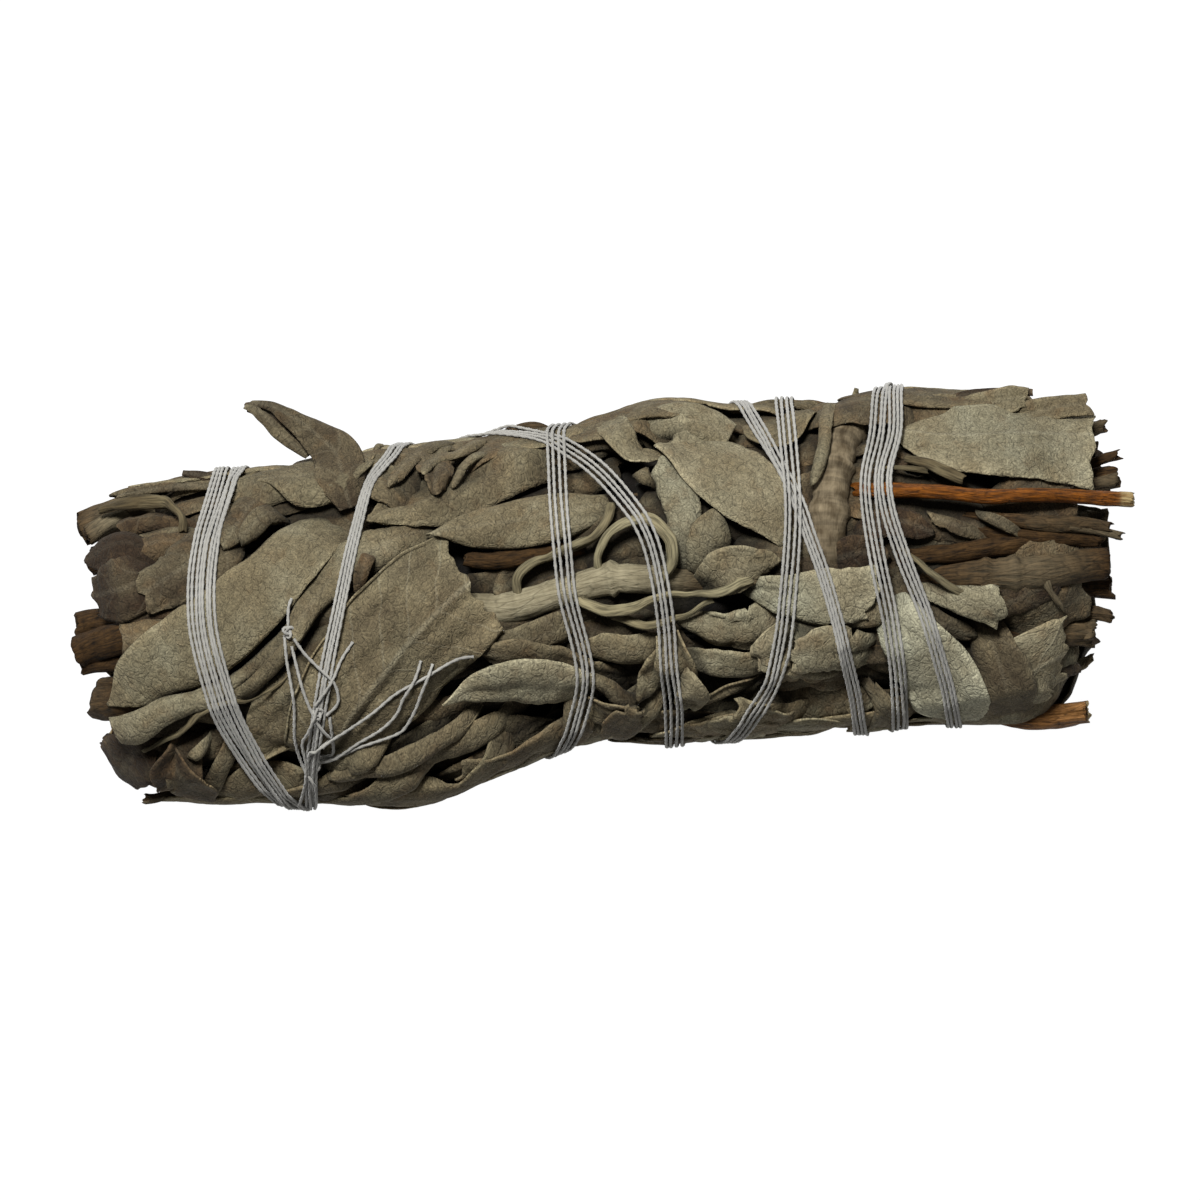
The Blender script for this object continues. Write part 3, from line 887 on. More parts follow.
def free_blade(points, half, facing, seed, step=0.38, bow=0.3, tip="torn", wave=0.15, tint=0.0, age=0.2,
               rib=0.3, pleat=0.1, rolls=(0, 0), ragged=0.4, creases=((0.4, 0.9), (0.5, 0.1))):
    """A leaf in the air, along points of its own."""
    length = np.linalg.norm(np.diff(points, axis=0), axis=1).sum()
    spine = along(points, np.linspace(0, 1, int(length / step)))
    uv_along, across, out, high, back, rim, _ = blade_surface(
        spine, half, seed, (1, 1), bow, rolls, 0.5, tip, wave, rib, pleat, ragged, creases, 1, step)
    forward = unit(np.gradient(spine, axis=0))
    up = unit(facing - forward * (forward @ facing)[:, None])
    sideways = np.cross(up, forward)
    surface = (spine[:, None] + sideways[:, None] * out[..., None] + up[:, None] * high[..., None]
               + forward[:, None] * back[..., None])
    uv = np.stack([uv_along, across], -1)
    return blade_part(surface, uv, rim, np.full(rim.shape, 2.0), seed, tint, age, 0.15, up)


TORN_FLAP = [(-28.3, 16.2, 19.4), (-30.1, 17.9, 19.3), (-31.4, 19.3, 19), (-32.9, 21, 18.3),
             (-34.7, 22, 17.6)]
FOLD_BEHIND = [(-28, 16.4, 18.4), (-29.9, 18.8, 18.0), (-31.6, 20.7, 17.4), (-35.1, 22.2, 16.4)]
sprig_parts[1] += [
    free_blade(STANDING_LEAF, STANDING_HALF, STANDING_FACING, 118, tint=-0.65, age=0.1),
    free_blade(TORN_FLAP, (0.3, 0.8, 0.85, 0.6, 0.3), STANDING_FACING, 102, tint=-0.5, ragged=1.8, bow=0.6),
    free_blade(FOLD_BEHIND, (0.4, 0.8, 0.8, 0.6), STANDING_FACING, 107, tint=-3, ragged=1.2),
]

# Torn leaves and tips that stand out flat along the two flanks or fill a gap there. Each has its points or
# places, its half widths, its seed, how pale it is and how far its edges bend.
FLANK_FACING = np.array([0.0, 0.45, 1.0])
FLANK_TIPS = [
    ([(13.8, 14.4, 20.8), (11, 15.9, 20.4), (7.6, 16.5, 20), (3.6, 15.2, 19.8)],
     (1.6, 2.5, 2.4, 1.5), 36, 0.25, 0.7),
    ([(29.6, 12.6, 20.4), (32.2, 14.4, 19.8), (34.8, 15.6, 19.2), (37.6, 16.6, 18.6)],
     (1.8, 2.2, 1.5, 0.4), 55, -0.2, 0.2),
    ([(35, 16.2, 18.6), (39, 16.6, 18.2), (44.6, 16.2, 17.8)], (0.4, 0.6, 0.4), 101, -1.6, 1.2),
    ([(35, 14, 19.6), (38.5, 15, 19.2), (41.8, 15.6, 18.8), (45, 15.7, 18.4)],
     (1.4, 1.6, 1.5, 1.0), 56, 0, 0.2),
    ([(42, 13.8, 19.2), (46.2, 14.5, 18.7), (50.4, 14.6, 18.2)], (1.2, 1.5, 1.3), 104, -0.2, 0.2),
    ([(-38.4, 14.2, 17.4), (-43, 14.5, 17.4), (-48.6, 13.9, 17.4)], (0.4, 0.45, 0.2), 109, -0.6, 0.8),
    ([(-41, 15.7, 16), (-39.6, 15.3, 16.2), (-37.6, 14.8, 16)], (0.3, 0.5, 0.5), 110, -1.4, 0.8),
    ([(26, 15.8, 14), (22, 16.2, 14), (18, 15.8, 14)], (0.6, 1.4, 0.8), 113, -0.8, 0.3),
    ([(-24, -15.2, 10), (-18.5, -15.8, 10.5), (-13, -14.8, 10)], (0.8, 1.7, 0.8), 114, -0.8, 0.3),
    (on_body(*np.transpose(seen((41, -10.4, 0), (44.4, -11, 0.3), (47, -10.9, 0)))),
     (1.2, 1.6, 1.2), 115, -1.0, 0.9),
    (on_body(*np.transpose(seen((40.5, -12.4, 0), (43.6, -12.8, 0.3), (45.8, -12.6, 0)))),
     (0.8, 1.4, 0.8), 116, -0.8, 0.6),
    ([(-2, 13, 15), (2.3, 13.6, 15), (7, 13, 15)], (0.8, 1.6, 0.8), 117, -0.8, 0.3),
]
for points, half, seed, tint, bow in FLANK_TIPS:
    sprig_parts[1 if points[0][1] > 0 else 5].append(free_blade(
        points, half, FLANK_FACING, seed, tint=tint, bow=bow, ragged=1.3, wave=0.3, creases=None))

# Round the back and underneath, leaves lie in rows along the bunch, every other one a layer higher.
BACK_ROWS = 9
BACK_PER_ROW = 4
draw = np.random.default_rng(41)
for row in range(BACK_ROWS):
    for k in range(BACK_PER_ROW):
        turn = 96 + (264 - 96) * row / (BACK_ROWS - 1)
        lift = MID if (row + k) % 2 else LOW
        forward = 1 if row % 2 else -1
        foot_x = (k - (BACK_PER_ROW - 1) / 2) * 24.5 + forward * (-11 + 2 * draw.uniform(-1, 1))
        slant, length = 7 * draw.uniform(-1, 1), 21 + 2 * draw.uniform(-1, 1)
        path = [(foot_x + forward * length * share, turn + slant * share + 3 * draw.uniform(-1, 1), height)
                for share, height in ((0, FOOT), (0.3, lift), (0.65, lift), (1, lift))]
        add_leaf(all_round(*path), draw.uniform(2.9, 4.4), 200 + 10 * row + k, bow=draw.uniform(0.1, 0.9),
                 wave=draw.uniform(0.2, 0.4), tint=draw.uniform(-0.5, 0.3), age=draw.uniform(0, 0.45),
                 tip=draw.choice(["round", "torn", "point"]), veined=draw.uniform(0, 0.5))

# Four leaves underneath carry the bunch.
RESTING_PLACES = (-40.5, -5, 16.5, 40)
for k, x in enumerate(RESTING_PLACES):
    path = [(x + ahead, 180, lift) for ahead, lift in ((11, FOOT), (7, 0.6), (2, 2.9), (-1, 2.9), (-7, 2))]
    add_leaf(all_round(*path), 4.2, 300 + k, ends=(0.6, 0.5), wave=0.2)

# Short ends of inner leaves stick out of each sprig's two ends, dried brown where they were cut.
ENDS_PER_SPRIG = 15
draw = np.random.default_rng(77)
for sprig in range(6):
    for end_x, outwards in zip(SPRIG_ENDS[sprig], (-1, 1)):
        for k in range(ENDS_PER_SPRIG):
            turn = SPRIG_TURNS[sprig] + draw.uniform(-30, 30)
            lift = draw.uniform(-0.9, 0.6) if k % 3 == 0 else draw.uniform(-8.5, -0.8)
            reach = draw.uniform(0.3, 3.9) + 0.25 * lift
            twist = draw.uniform(-8, 8)
            path = all_round((end_x - 7 * outwards, turn, lift - 0.8),
                             (end_x - 2.5 * outwards, turn + twist, lift),
                             (end_x + reach * outwards, turn + 1.5 * twist, lift - draw.uniform(-0.6, 0.6)))
            part = laid_blade(path, draw.uniform(1.0, 2.4), 400 + 30 * sprig + k + 200 * (outwards > 0),
                              ends=(0.9, 0.9), bow=draw.uniform(-0.4, 1.4), tip="torn", wave=0.5,
                              tint=draw.uniform(-0.9, 0), age=draw.uniform(0.4, 1), step=0.55, pressed=False)
            part["in_the_open"] = True
            sprig_parts[sprig].append(part)
for end_x, outwards in zip(HEART_ENDS, (-1, 1)):
    for k in range(8):
        turn, lift = draw.uniform(0, 360), draw.uniform(-10, -8.5)
        path = all_round((end_x - 5 * outwards, turn, lift),
                         (end_x + draw.uniform(0.5, 3) * outwards, turn + draw.uniform(-15, 15), lift))
        part = laid_blade(path, draw.uniform(1, 2), 850 + 10 * k + (outwards > 0), ends=(0.9, 0.9),
                          bow=draw.uniform(-1, 1), tip="torn", tint=-0.5, age=0.8, step=0.55, pressed=False)
        part["in_the_open"] = True
        sprig_parts[6].append(part)

# ---------------------------------------------------------------------------------------------------------
# Petioles: the leaf stalks, round and tough, which arch out among the leaves in the middle of the bunch.

petioles = [
    ([(1.6, 8.9, 0.6), (0, 6.2, 1.9), (-3, 4.6, 1.9), (-6.5, 3.7, 1.5), (-8.5, 2.2, 1.2), (-8.5, 0, 0.6)],
     [0.6, 0.7, 0.7, 0.65, 0.6, 0.6]),
    ([(-0.4, 1.4, 0.6), (-0.2, 4, 1.6), (1.4, 6.3, 2.1), (4, 7.1, 2.1), (6.3, 5.8, 1.9), (6.9, 3, 1.7),
      (5.6, 0.6, 0.8)],
     [0.8, 0.75, 0.7, 0.7, 0.75, 0.8, 0.9]),
    ([(-3.4, 0.6, 0.4), (-1.8, -1.1, 1.9), (1.5, -1.8, 2.2), (4.5, -1.2, 2.2), (8, -0.7, 2.3), (11, -1, 2.2),
      (14.6, 0.3, 1.6)], [0.6, 0.7, 0.65, 0.6, 0.65, 0.7, 0.5]),
    ([(0.6, -2.2, 0.6), (4, -3.4, 1.5), (7, -3, 1.7), (10.6, -1.6, 1.6)], [0.5]),
    ([(-49.5, 12.6, 1.6), (-46.5, 13, 1.7), (-43.4, 12.9, 1.6), (-41.6, 11.6, 1.3), (-41.2, 9.6, 0.4)],
     [0.7, 0.85, 0.8, 0.7, 0.6]),
    ([(-36.8, 12.6, 1.0), (-35.5, 13.7, 1.7), (-33.2, 15, 1.9), (-30, 15.6, 1.7), (-27.6, 15.2, 0.6)],
     [0.8, 0.8, 0.65, 0.5, 0.45]),
    ([(-47, -11.6, 1.9), (-43.5, -10.2, 2.2), (-40.5, -8, 2.3), (-36.2, -7.4, 2.0), (-33, -6.5, 1.8),
      (-31.6, -5.2, 1)],
     [0.5, 0.42, 0.4, 0.36, 0.4, 0.4]),
    ([(29.8, 1.8, 1.2), (31.4, 0.2, 1.8), (33.6, -2.2, 2.2), (36.2, -3.4, 1.6)], [0.4]),
    ([(28.6, 10, 1.2), (31, 9.6, 1.6), (33, 9.2, 1.2)], [0.5]),
    ([(30.8, 10.8, 1.2), (33.6, 9.6, 1.7), (36.4, 8.2, 1.2)], [0.6]),
    ([(-25.6, -18, 1.6), (-24, -17.4, 1.9), (-22.4, -16.6, 1.8)], [0.4]),
    ([(26.2, 16.4, 1.6), (26.5, 17.6, 2.4), (26.9, 19.4, 3.2)], [0.45, 0.5, 0.35]),
]
STALK_TINTS = [-0.1, 0.4, 0.4, 0.1, -0.7, -0.3, -0.3, -0.2, -0.5, -0.5, -0.3, 0.0]
for k, (path, radii) in enumerate(petioles):
    places = seen(*path)
    part = grown(places, [0.85 * radius for radius in radii], seed=500 + 10 * k, sides=18, step=0.3,
                 ridge=0.15, ragged=0.15, flat=0.4, kinked=0.22)
    part = leafy(part["vertices"], part["faces"], part["uv"], own=500 + k, tint=STALK_TINTS[k], age=0.3,
                 rim=0, lift=1.5, stalk=1, veined=0)
    sprig_parts[sprig_under(places[0][1])].append(part)

# ---------------------------------------------------------------------------------------------------------
# The felted leaf surface. Dried white sage is matt grey-green to olive-beige, pebbled between a fine net of
# veins, paler on raised rims, browner deep in the bunch and where it was cut.

LEAF_COLOURS = {"brown": "#291f15", "olive": "#5e5642", "pale": "#7c7864", "grey": "#8b8976",
                "aged": "#54432d", "vein": "#9a9580"}
STALK_COLOURS = {"brown": "#453b28", "pale": "#7f785e"}
NET_PER_MM = 1.1
VEINS_APART = 1.9
PATTERNS = {
    # bumps per millimetre, and how much finer detail they have
    "broken net": (0.45, 1.0), "felt": (6.0, 2.0), "drift": (0.35, 1.0), "tone": (0.28, 3.0),
    "patches": (0.5, 4.0), "hue": (0.1, 1.0), "mottling": (1.5, 4.0),
}


def felted_leaf():
    material, tree = new_material("felted_sage_leaf")
    value = {name: node(tree, "Attribute", out="Fac", attribute_name=name)
             for name in ("own", "tint", "age", "rim", "lift", "stalk", "veined", "buried")}
    flat = node(tree, "UVMap", uv_map="blade")
    moved = node(tree, "CombineXYZ", {"X": value["own"], "Y": value["own"]})
    moved = node(tree, "VectorMath", (moved, (7.31, 3.77, 0)), operation="MULTIPLY")
    place = node(tree, "VectorMath", (flat, moved), operation="ADD")
    warp = node(tree, "TexNoise", {"Vector": place, "Scale": 1.1, "Detail": 2.0}, out="Color")
    warp = node(tree, "VectorMath", (warp, (0.5, 0.5, 0.5)), operation="SUBTRACT")
    place = node(tree, "VectorMath", (warp, (0.9, 0.9, 0), place), operation="MULTIPLY_ADD")
    pattern = {name: node(tree, "TexNoise", {"Vector": place, "Scale": per_mm, "Detail": detail})
               for name, (per_mm, detail) in PATTERNS.items()}

    # The net of sunk veins, and finer pebbles inside its meshes.
    net = node(tree, "TexVoronoi", {"Vector": place, "Scale": NET_PER_MM}, voronoi_dimensions="2D",
               feature="DISTANCE_TO_EDGE")
    crack = node(tree, "MapRange", (net, 0.0, 0.05, 1.0, 0.0))
    broken = node(tree, "MapRange", (pattern["broken net"], 0.32, 0.56))
    crack = node(tree, "Math", (crack, broken), operation="MULTIPLY")
    leaf_only = node(tree, "Math", (1.0, value["stalk"]), operation="SUBTRACT")
    crack = node(tree, "Math", (crack, leaf_only), operation="MULTIPLY")
    pebbles = node(tree, "TexVoronoi", {"Vector": place, "Scale": 2.4 * NET_PER_MM}, voronoi_dimensions="2D",
                   feature="SMOOTH_F1")

    # The midrib and the side veins that leave it on a slant, paler than the blade between them.
    parts = node(tree, "SeparateXYZ", {"Vector": flat}, out=None).outputs
    from_rib = node(tree, "Math", (parts[1],), operation="ABSOLUTE")
    midrib = node(tree, "MapRange", (from_rib, 0.1, 0.35, 1.0, 0.0))
    slanted = node(tree, "Math", (from_rib, -0.85, parts[0]), operation="MULTIPLY_ADD")
    slanted = node(tree, "Math", (pattern["drift"], 1.6, slanted), operation="MULTIPLY_ADD")
    side_vein = node(tree, "Math", (slanted, VEINS_APART), operation="PINGPONG")
    side_vein = node(tree, "MapRange", (side_vein, 0.04, 0.2, 0.75, 0.0))
    veins = node(tree, "Math", (midrib, side_vein), operation="MAXIMUM")
    veins = node(tree, "Math", (veins, value["veined"]), operation="MULTIPLY")

    # Colour.
    toned = node(tree, "Math", (pattern["tone"], 1.5, -0.75), operation="MULTIPLY_ADD")
    toned = node(tree, "Math", (toned, value["tint"]), operation="ADD")
    low, high, dusty, ripe = (node(tree, "MapRange", (toned, *reach))
                              for reach in ((-1.0, 0.0), (0.0, 1.0), (0.7, 1.5), (-0.8, 0.8)))
    patches = node(tree, "Math", (value["age"], 0.32, pattern["patches"]), operation="MULTIPLY_ADD")
    patches = node(tree, "MapRange", (patches, 0.6, 0.9, 0.0, 0.7))
    pale_vein = node(tree, "Math", (veins, 0.45), operation="MULTIPLY")
    colour = linear(LEAF_COLOURS["brown"])
    cover = {"olive": low, "pale": high, "grey": dusty, "aged": patches, "vein": pale_vein}
    for name, share in cover.items():
        colour = node(tree, "Mix", {0: share, 6: colour, 7: linear(LEAF_COLOURS[name])},
                      out=2, data_type="RGBA")
    stalk = node(tree, "Mix", {0: ripe, 6: linear(STALK_COLOURS["brown"]), 7: linear(STALK_COLOURS["pale"])},
                 out=2, data_type="RGBA")
    colour = node(tree, "Mix", {0: value["stalk"], 6: colour, 7: stalk}, out=2, data_type="RGBA")
    hue = node(tree, "MapRange", (pattern["hue"], 0.38, 0.62))
    hue = node(tree, "Mix", {0: hue, 6: (1.03, 1.0, 0.97, 1), 7: (0.98, 1.0, 1.01, 1)},
               out=2, data_type="RGBA")
    colour = node(tree, "VectorMath", (colour, hue), operation="MULTIPLY")
    grain = node(tree, "MapRange", (pattern["felt"], 0.3, 0.7, 0.58, 1.38))
    mottled = node(tree, "MapRange", (pattern["mottling"], 0.35, 0.65, 0.84, 1.14))
    grain = node(tree, "Math", (grain, mottled), operation="MULTIPLY")
    lengthwise = node(tree, "Mapping", {"Vector": flat, "Scale": (0.12, 1.0, 1.0)})
    fibres = node(tree, "TexNoise", {"Vector": lengthwise, "Scale": 4.5, "Detail": 4.0})
    ribbed = node(tree, "MapRange", (fibres, 0.35, 0.6, 0.45, 1.15))
    shade = node(tree, "Mix", {0: value["stalk"], 2: grain, 3: ribbed})
    sunk = node(tree, "Math", (crack, -0.5, 1.0), operation="MULTIPLY_ADD")
    deep = node(tree, "MapRange", (value["lift"], -2.2, 0.4, 0.16, 1.0))
    shadowed = node(tree, "MapRange", (value["buried"], 0.45, 2.0, 1.0, 0.3))
    worn_rim = node(tree, "Math", (value["rim"], 0.55, 1.0), operation="MULTIPLY_ADD")
    for factor in (sunk, deep, shadowed, worn_rim):
        shade = node(tree, "Math", (shade, factor), operation="MULTIPLY")
    colour = node(tree, "VectorMath", {0: colour, "Scale": shade}, operation="SCALE")

    # Relief.
    pillow = node(tree, "MapRange", (net, 0.0, 0.16, 0.0, 0.35))
    relief = node(tree, "Math", (pillow, leaf_only), operation="MULTIPLY")
    for raised, height in ((pebbles, -0.4), (pattern["felt"], 0.9), (veins, 0.7)):
        relief = node(tree, "Math", (raised, height, relief), operation="MULTIPLY_ADD")
    relief = node(tree, "Mix", {0: value["stalk"], 2: relief, 3: fibres})
    relief = node(tree, "Bump", {"Strength": 1.0, "Distance": 0.00015, "Height": relief})
    surface = node(tree, "BsdfPrincipled", {"Base Color": colour, "Roughness": 0.88,
                                            "Specular IOR Level": 0.15, "Sheen Weight": 0.03,
                                            "Sheen Roughness": 0.6, "Sheen Tint": linear("#c9c6b4"),
                                            "Normal": relief})
    node(tree, "OutputMaterial", {"Surface": surface}, out=None)
    return material


def buried(part, highest):
    """How far each vertex of a part lies below the highest leaf close to it."""
    points = part["vertices"]
    turn, lift = off_body(points)
    return np.clip(highest[pile_cell(points[:, 0], turn)] - lift, 0, 4)


# Near the ends of the bunch the light reaches further in.
OPEN_FROM = (43.5, 46.5)
leaf_material = felted_leaf()
wrapped_pile = np.concatenate([pile[:, -8:], pile, pile[:, :8]], axis=1)
highest_near = spread_out(wrapped_pile, 2)[:, 8:-8]
for sprig, parts in enumerate(sprig_parts):
    for part in parts:
        part["values"]["buried"] = buried(part, highest_near)
        open_end = eased(np.abs(part["vertices"][:, 0]), *OPEN_FROM)
        part["values"]["lift"] = np.maximum(part["values"]["lift"], 1.6 * open_end - 3)
        part["values"]["buried"] *= 1 - 0.6 * open_end
        if "in_the_open" in part:
            part["values"]["buried"] *= 0.35
            part["values"]["lift"] = np.maximum(part["values"]["lift"], -1)
    foliage = mesh_piece(f"sprig_{sprig + 1}_foliage", parts, leaf_material)
    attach(foliage, "root")
    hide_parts(f"sprig_{sprig + 1}_leaves")

# ---------------------------------------------------------------------------------------------------------
# Binding: four white cotton threads, each twisted from two plies, wound together from the knot to the far
# end and back over themselves. They are drawn tight, so they bridge the hollows between the leaves.

THREAD_WIDTH = 0.36
PLY_SIZES = {"Width": THREAD_WIDTH, "Twist length": 1.9, "Step": 0.22}
THREAD_COUNT = 4
THREAD_PITCH = 0.42
THREAD_OFF_TABLE = 0.25
USUAL_LIFT = 2.0
SEEN_LIFT = 2.7
ROUNDS = [
    [(-37, 15.3), (-39.4, 10), (-40.5, 5), (-40.8, 0), (-40, -5), (-38.9, -10), (-36.7, -15), (-34, -17.6)],
    [(-3.6, 15.2), (-0.9, 14), (1.2, 12), (2.4, 10), (4.1, 7), (5, 5), (5.6, 0), (5.8, -5), (5.6, -8),
     (5.9, -12), (5.4, -15.6)],
    [(15, 18.1), (17.2, 14.5), (18.5, 11.5), (19.9, 8), (20.4, 5), (21.7, 0), (22.9, -6), (23.9, -13),
     (24.2, -15.9)],
    [(30.9, 18), (30.2, 14), (28.9, 11), (28.4, 9), (28.5, 6), (29.9, 0), (31.7, -6), (33.2, -13),
     (33.7, -16.3)],
    [(29.6, 18.2), (28.3, 14), (27.1, 11), (26.7, 8.5), (26.8, 5), (27.2, 0), (27.9, -5), (28.3, -10),
     (28.2, -15.8)],
    [(19.5, 17.5), (19.4, 10), (19.3, 7), (18.8, 3), (18.3, 0), (17.2, -6), (15.5, -10.5), (13.5, -12.8),
     (10.8, -15.5)],
    [(-3.5, 16.2), (-3.85, 10), (-3.8, 0), (-2.9, -5), (-2.5, -8), (-2.8, -10), (-4.6, -13.7)],
    [(-19.5, 16), (-20.3, 15), (-22.5, 13), (-24.3, 8), (-26.6, 0), (-28.1, -5), (-29.5, -10), (-30.6, -15),
     (-31.2, -18.2)],
    [(-35.4, 15.3), (-37.9, 10), (-39.0, 5), (-39.3, 0), (-38.5, -5), (-37.4, -10), (-35.3, -15),
     (-32.8, -17.8)],
]
ROUNDS_OUT = 4
SPREADS = [0.9, 1.25, 0.85, 0.95, 1.1, 1.2, 1.25, 0.8, 0.9]
BEFORE_SECOND = [(-14, 102), (-10.4, 88), (-7, 75)]


def thread_route():
    """Where the middle of the four threads runs, as x, turn and how far they are spread. It starts and ends
    just under the bunch, below the knots."""
    places = [(-31, math.radians(-99), 0.8), (-32.6, math.radians(-112), 1), (-35.4, math.radians(-140), 1)]
    for k, one_round in enumerate(ROUNDS):
        turned = -2 * math.pi * (k + 1)
        if k == 1:
            places += [(x, math.radians(degrees) + turned, 1.1) for x, degrees in BEFORE_SECOND]
        places += [(x, from_above(x, across, SEEN_LIFT)[1] + turned, SPREADS[k]) for x, across in one_round]
    places.append((-31.6, math.radians(-104) - 2 * math.pi * len(ROUNDS), 0.8))
    return np.array(places)


def tightened(x, turn, least, passes=500):
    """The lift of a thread that is drawn tight over what it has to clear."""
    radius = mean_radius(x, USUAL_LIFT)
    gap = np.hypot(np.gradient(x), np.gradient(turn) * radius)
    sink = (np.gradient(turn) ** 2) * radius / 2
    lift = least.copy()
    for _ in range(passes):
        middle = lift.copy()
        middle[1:-1] = (lift[:-2] + lift[2:]) / 2 - sink[1:-1]
        lift = np.maximum(least, middle)
    return lift


def wind_threads():
    places = thread_route()
    turns = np.arange(places[0, 1], places[-1, 1], -0.35 / 15.5)
    x = np.interp(-turns, -places[:, 1], places[:, 0])
    smooth = np.hanning(23)
    x = np.convolve(np.pad(x, 11, "edge"), smooth / smooth.sum(), "valid")
    spread = np.interp(-turns, -places[:, 1], places[:, 2])
    slope = np.gradient(x) / (np.gradient(turns) * mean_radius(x, USUAL_LIFT))
    stretch = np.minimum(np.sqrt(1 + slope**2), 1.6)
    outward_end = places[3 + sum(len(r) for r in ROUNDS[:ROUNDS_OUT]) + len(BEFORE_SECOND) - 1, 1]
    out = turns > outward_end
    steps = np.arange(len(turns))
    lanes = []
    for k in range(THREAD_COUNT):
        wander = 0.1 * noise(steps * 0.35, 50 * k, 9, 61)
        lanes.append(x + ((k - 1.5) * THREAD_PITCH * spread + wander) * stretch)
    routes = []
    for lane in lanes:
        least = pile[pile_cell(lane, turns)] + 0.5 * THREAD_WIDTH
        routes.append([lane, turns, tightened(lane, turns, np.maximum(least, 1.0))])
    for lane, turn, lift in routes:
        cells = pile_cell(lane[out], turn[out])
        np.maximum.at(pile, cells, lift[out] + 0.4 * THREAD_WIDTH)
    for route in routes:
        lane, turn, lift = route
        least = np.where(out, lift, pile[pile_cell(lane, turn)] + 0.5 * THREAD_WIDTH)
        route[2] = tightened(lane, turn, least)
        np.maximum.at(pile, pile_cell(lane, turn), route[2] + 0.3 * THREAD_WIDTH)
    return routes


def thread_tree():
    """Twists two plies along a curve: an oval section that turns as it goes."""
    tree = bpy.data.node_groups.new("two_ply_thread", "GeometryNodeTree")
    kinds = {"Path": "Geometry", **{name: "Float" for name in PLY_SIZES}, "Cotton": "Material"}
    sockets = {}
    for name, kind in kinds.items():
        socket = tree.interface.new_socket(name, in_out="INPUT", socket_type="NodeSocket" + kind)
        sockets[name] = socket.identifier
    tree.interface.new_socket("Thread", in_out="OUTPUT", socket_type="NodeSocketGeometry")
    given = node(tree, "NodeGroupInput", out=None)
    path = node(tree, "GeometryNodeResampleCurve", {"Curve": given.outputs["Path"],
                                                    "Length": given.outputs["Step"]}, mode="LENGTH")
    along_it = node(tree, "GeometryNodeSplineParameter", out="Length")
    turns = node(tree, "Math", (along_it, given.outputs["Twist length"]), operation="DIVIDE")
    tilt = node(tree, "Math", (turns, 2 * math.pi), operation="MULTIPLY")
    twisted = node(tree, "GeometryNodeSetCurveTilt", {"Curve": path, "Tilt": tilt})
    half = node(tree, "Math", (given.outputs["Width"], 0.5), operation="MULTIPLY")
    circle = node(tree, "GeometryNodeCurvePrimitiveCircle", {"Resolution": 6, "Radius": half})
    oval = node(tree, "GeometryNodeTransform", {"Geometry": circle, "Scale": (1.0, 0.78, 1.0)})
    thread = node(tree, "GeometryNodeCurveToMesh", {"Curve": twisted, "Profile Curve": oval,
                                                    "Fill Caps": True})
    real = node(tree, "GeometryNodeRealizeInstances", {"Geometry": thread})
    dressed = node(tree, "GeometryNodeSetMaterial", {"Geometry": real, "Material": given.outputs["Cotton"]})
    node(tree, "NodeGroupOutput", {"Thread": dressed}, out=None)
    return tree, sockets


def cotton():
    """Bleached cotton: matt, with hairs that catch the light and fine shadows between the plies."""
    material, tree = new_material("bleached_cotton_thread")
    place = node(tree, "TexCoord", out="Object")
    fibres = node(tree, "TexNoise", {"Vector": place, "Scale": 9000.0, "Detail": 2.0})
    soiled = node(tree, "TexNoise", {"Vector": place, "Scale": 160.0, "Detail": 2.0})
    colour = node(tree, "Mix", {0: soiled, 6: linear("#706e68"), 7: linear("#9c9a93")}, out=2,
                  data_type="RGBA")
    relief = node(tree, "Bump", {"Strength": 0.5, "Distance": 0.00004, "Height": fibres})
    surface = node(tree, "BsdfPrincipled", {"Base Color": colour, "Roughness": 0.9, "Specular IOR Level": 0.2,
                                            "Sheen Weight": 0.3, "Sheen Roughness": 0.5, "Normal": relief})
    node(tree, "OutputMaterial", {"Surface": surface}, out=None)
    return material


def thread_piece(name, paths):
    """Threads along paths in millimetres, twisted by the node tree and turned into one plain mesh."""
    curve = bpy.data.curves.new(name + "_path", "CURVE")
    curve.dimensions = "3D"
    for path in paths:
        spline = curve.splines.new("POLY")
        spline.points.add(len(path) - 1)
        metres = (np.asarray(path) + OFF_CENTRE) * 0.001
        spline.points.foreach_set("co", np.concatenate([metres, np.ones((len(path), 1))], 1).reshape(-1))
    holder = bpy.data.objects.new(name + "_path", curve)
    bpy.context.scene.collection.objects.link(holder)
    modifier = holder.modifiers.new("twist", "NODES")
    modifier.node_group = ply_tree
    for size, millimetres in PLY_SIZES.items():
        modifier[ply_sockets[size]] = millimetres / 1000
    modifier[ply_sockets["Cotton"]] = cotton_material
    evaluated = holder.evaluated_get(bpy.context.evaluated_depsgraph_get())
    mesh = bpy.data.meshes.new_from_object(evaluated)
    bpy.data.objects.remove(holder)
    mesh.name = name
    mesh.polygons.foreach_set("use_smooth", np.ones(len(mesh.polygons), bool))
    piece = bpy.data.objects.new(name, mesh)
    bpy.context.scene.collection.objects.link(piece)
    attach(piece, "root")
    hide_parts("binding_thread")
    return piece


ply_tree, ply_sockets = thread_tree()
cotton_material = cotton()
for k, (lane, turns, lift) in enumerate(wind_threads()):
    thread_piece(f"binding_thread_{k + 1}", [on_body(lane, turns, lift, THREAD_OFF_TABLE)])

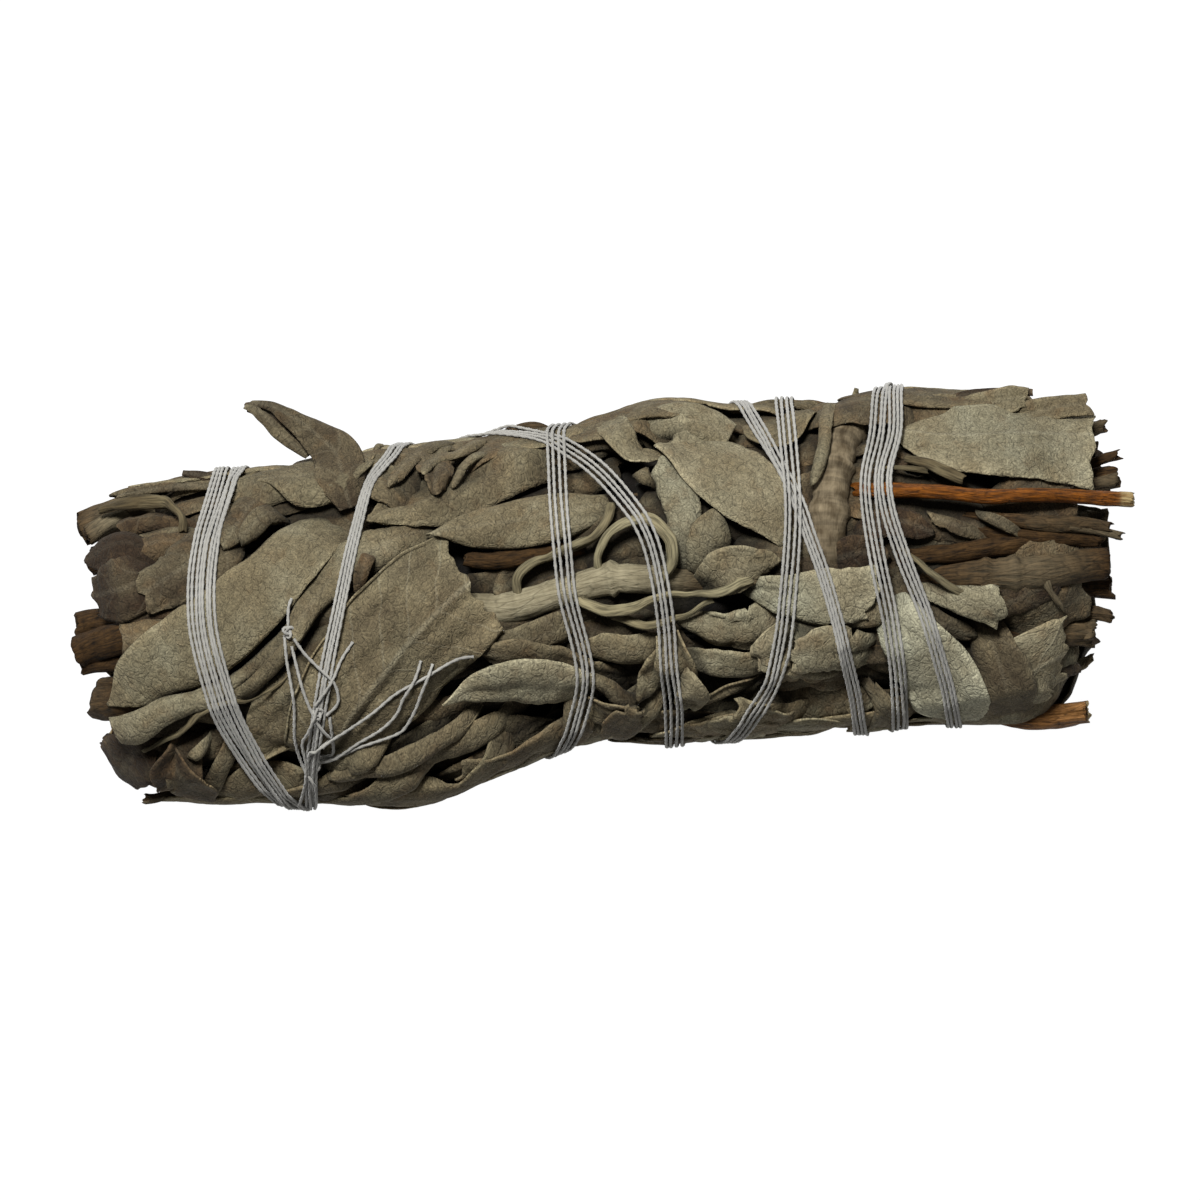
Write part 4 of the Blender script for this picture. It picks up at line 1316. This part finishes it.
# The ends are knotted and left long.
LOOSE_ENDS = [
    [(-31.5, -0.9), (-31.3, 1.2), (-30.9, 2.2)],
    [(-31.9, -1.5), (-31.9, -4), (-31.6, -8), (-31.9, -12), (-31.4, -14.8), (-30.4, -16.4), (-30.8, -18.4)],
    [(-31.3, -2.5), (-30.5, -7), (-29.5, -9.8), (-28.4, -11.8)],
    [(-31, -1.8), (-30, -3.4), (-28.8, -4.8), (-27.6, -6.1), (-27.2, -7.2), (-27.3, -8.4), (-28.5, -9.3)],
    [(-29.5, -8.2), (-27.6, -6.1), (-26.5, -4.3), (-25.2, -2.7)],
    [(-29.3, -8.4), (-30.5, -10.8), (-31.2, -12.3), (-31.1, -15), (-32.3, -17.8)],
    [(-28.2, -9.6), (-28.2, -13.5), (-29, -14.5), (-30.3, -14.9)],
    [(-28.5, -12.2), (-29.8, -12.8), (-30.8, -14), (-31.2, -18.5)],
    [(-29.2, -12.4), (-28, -11.8), (-24, -9.9), (-21.5, -8.3), (-18.5, -7), (-15.3, -5.5), (-13.5, -5.3)],
    [(-30.2, -14.9), (-28, -14.4), (-25, -13.2), (-22, -12.7), (-21, -12.3), (-19.8, -10.5), (-18.8, -8.2),
     (-17.6, -5.7)],
    [(-29.6, -14.8), (-28, -14.3), (-25.5, -12.9), (-23, -11.6), (-21.5, -10.2), (-20.8, -8.8), (-19.5, -7),
     (-18.7, -5.2)],
]
KNOTS = [(-31.5, -1.1, 0.42), (-29.3, -9, 0.4), (-30, -14.8, 0.5)]


def loose_end(path):
    places = [(*from_above(x, across, SEEN_LIFT)[:2], 0) for x, across in path]
    length = sum(math.dist(a, b) for a, b in zip(path, path[1:]))
    x, turn, _ = along(places, np.linspace(0, 1, max(int(length / 0.3), 6))).T
    least = pile[pile_cell(x, turn)] + 0.55 * THREAD_WIDTH
    lift = tightened(x, turn, least, passes=60)
    np.maximum.at(pile, pile_cell(x, turn), lift + 0.4 * THREAD_WIDTH)
    return on_body(x, turn, lift, THREAD_OFF_TABLE)


def knot(x, across, size):
    """An overhand knot, drawn small."""
    centre_x, turn, _ = from_above(x, across, SEEN_LIFT)
    lift = pile[pile_cell(np.array([centre_x]), np.array([turn]))][0] + size
    centre = on_body(np.array([centre_x]), np.array([turn]), np.array([lift]))[0]
    t = np.linspace(0, 2 * math.pi, 60)
    loop = np.stack([np.sin(t) + 2 * np.sin(2 * t), np.cos(t) - 2 * np.cos(2 * t), -np.sin(3 * t)], 1)
    return centre + loop * size * np.array([0.42, 0.5, 0.5])


ends = [loose_end(path) for path in LOOSE_ENDS] + [knot(*place) for place in KNOTS]
thread_piece("binding_thread_ends", ends)

# ---------------------------------------------------------------------------------------------------------
# Studio: a pale floor lit from below as a light table is, a large soft light above and behind, and a pale
# surround.

floor_material, floor_tree = new_material("white_studio_floor")
floor_shader = node(floor_tree, "BsdfPrincipled", {"Base Color": linear("#303030"), "Roughness": 0.9,
                                                   "Emission Color": linear("#ffffff"),
                                                   "Emission Strength": 1.0})
node(floor_tree, "OutputMaterial", {"Surface": floor_shader}, out=None)
floor_mesh = bpy.data.meshes.new("studio_floor")
floor_mesh.from_pydata([(-3, -3, 0), (3, -3, 0), (3, 3, 0), (-3, 3, 0)], [], [(0, 1, 2, 3)])
floor_mesh.materials.append(floor_material)
floor = bpy.data.objects.new("studio_floor", floor_mesh)
bpy.context.scene.collection.objects.link(floor)


def soft_light(name, place, size, power):
    data = bpy.data.lights.new(name, "AREA")
    data.shape = "DISK"
    data.size = size
    data.energy = power
    light = bpy.data.objects.new(name, data)
    light.location = place
    aim = -np.array(place) / np.linalg.norm(place)
    light.rotation_euler = (math.atan2(math.hypot(aim[0], aim[1]), -aim[2]), 0, math.atan2(-aim[0], aim[1]))
    bpy.context.scene.collection.objects.link(light)


soft_light("key_light", (-0.15, 0.55, 1.0), 0.3, 25)
world = bpy.data.worlds.new("white_surround")
world.use_nodes = True
world.node_tree.nodes["Background"].inputs["Color"].default_value = (1, 1, 1, 1)
world.node_tree.nodes["Background"].inputs["Strength"].default_value = 0.13
bpy.context.scene.world = world
bpy.context.scene.view_settings.view_transform = "Standard"
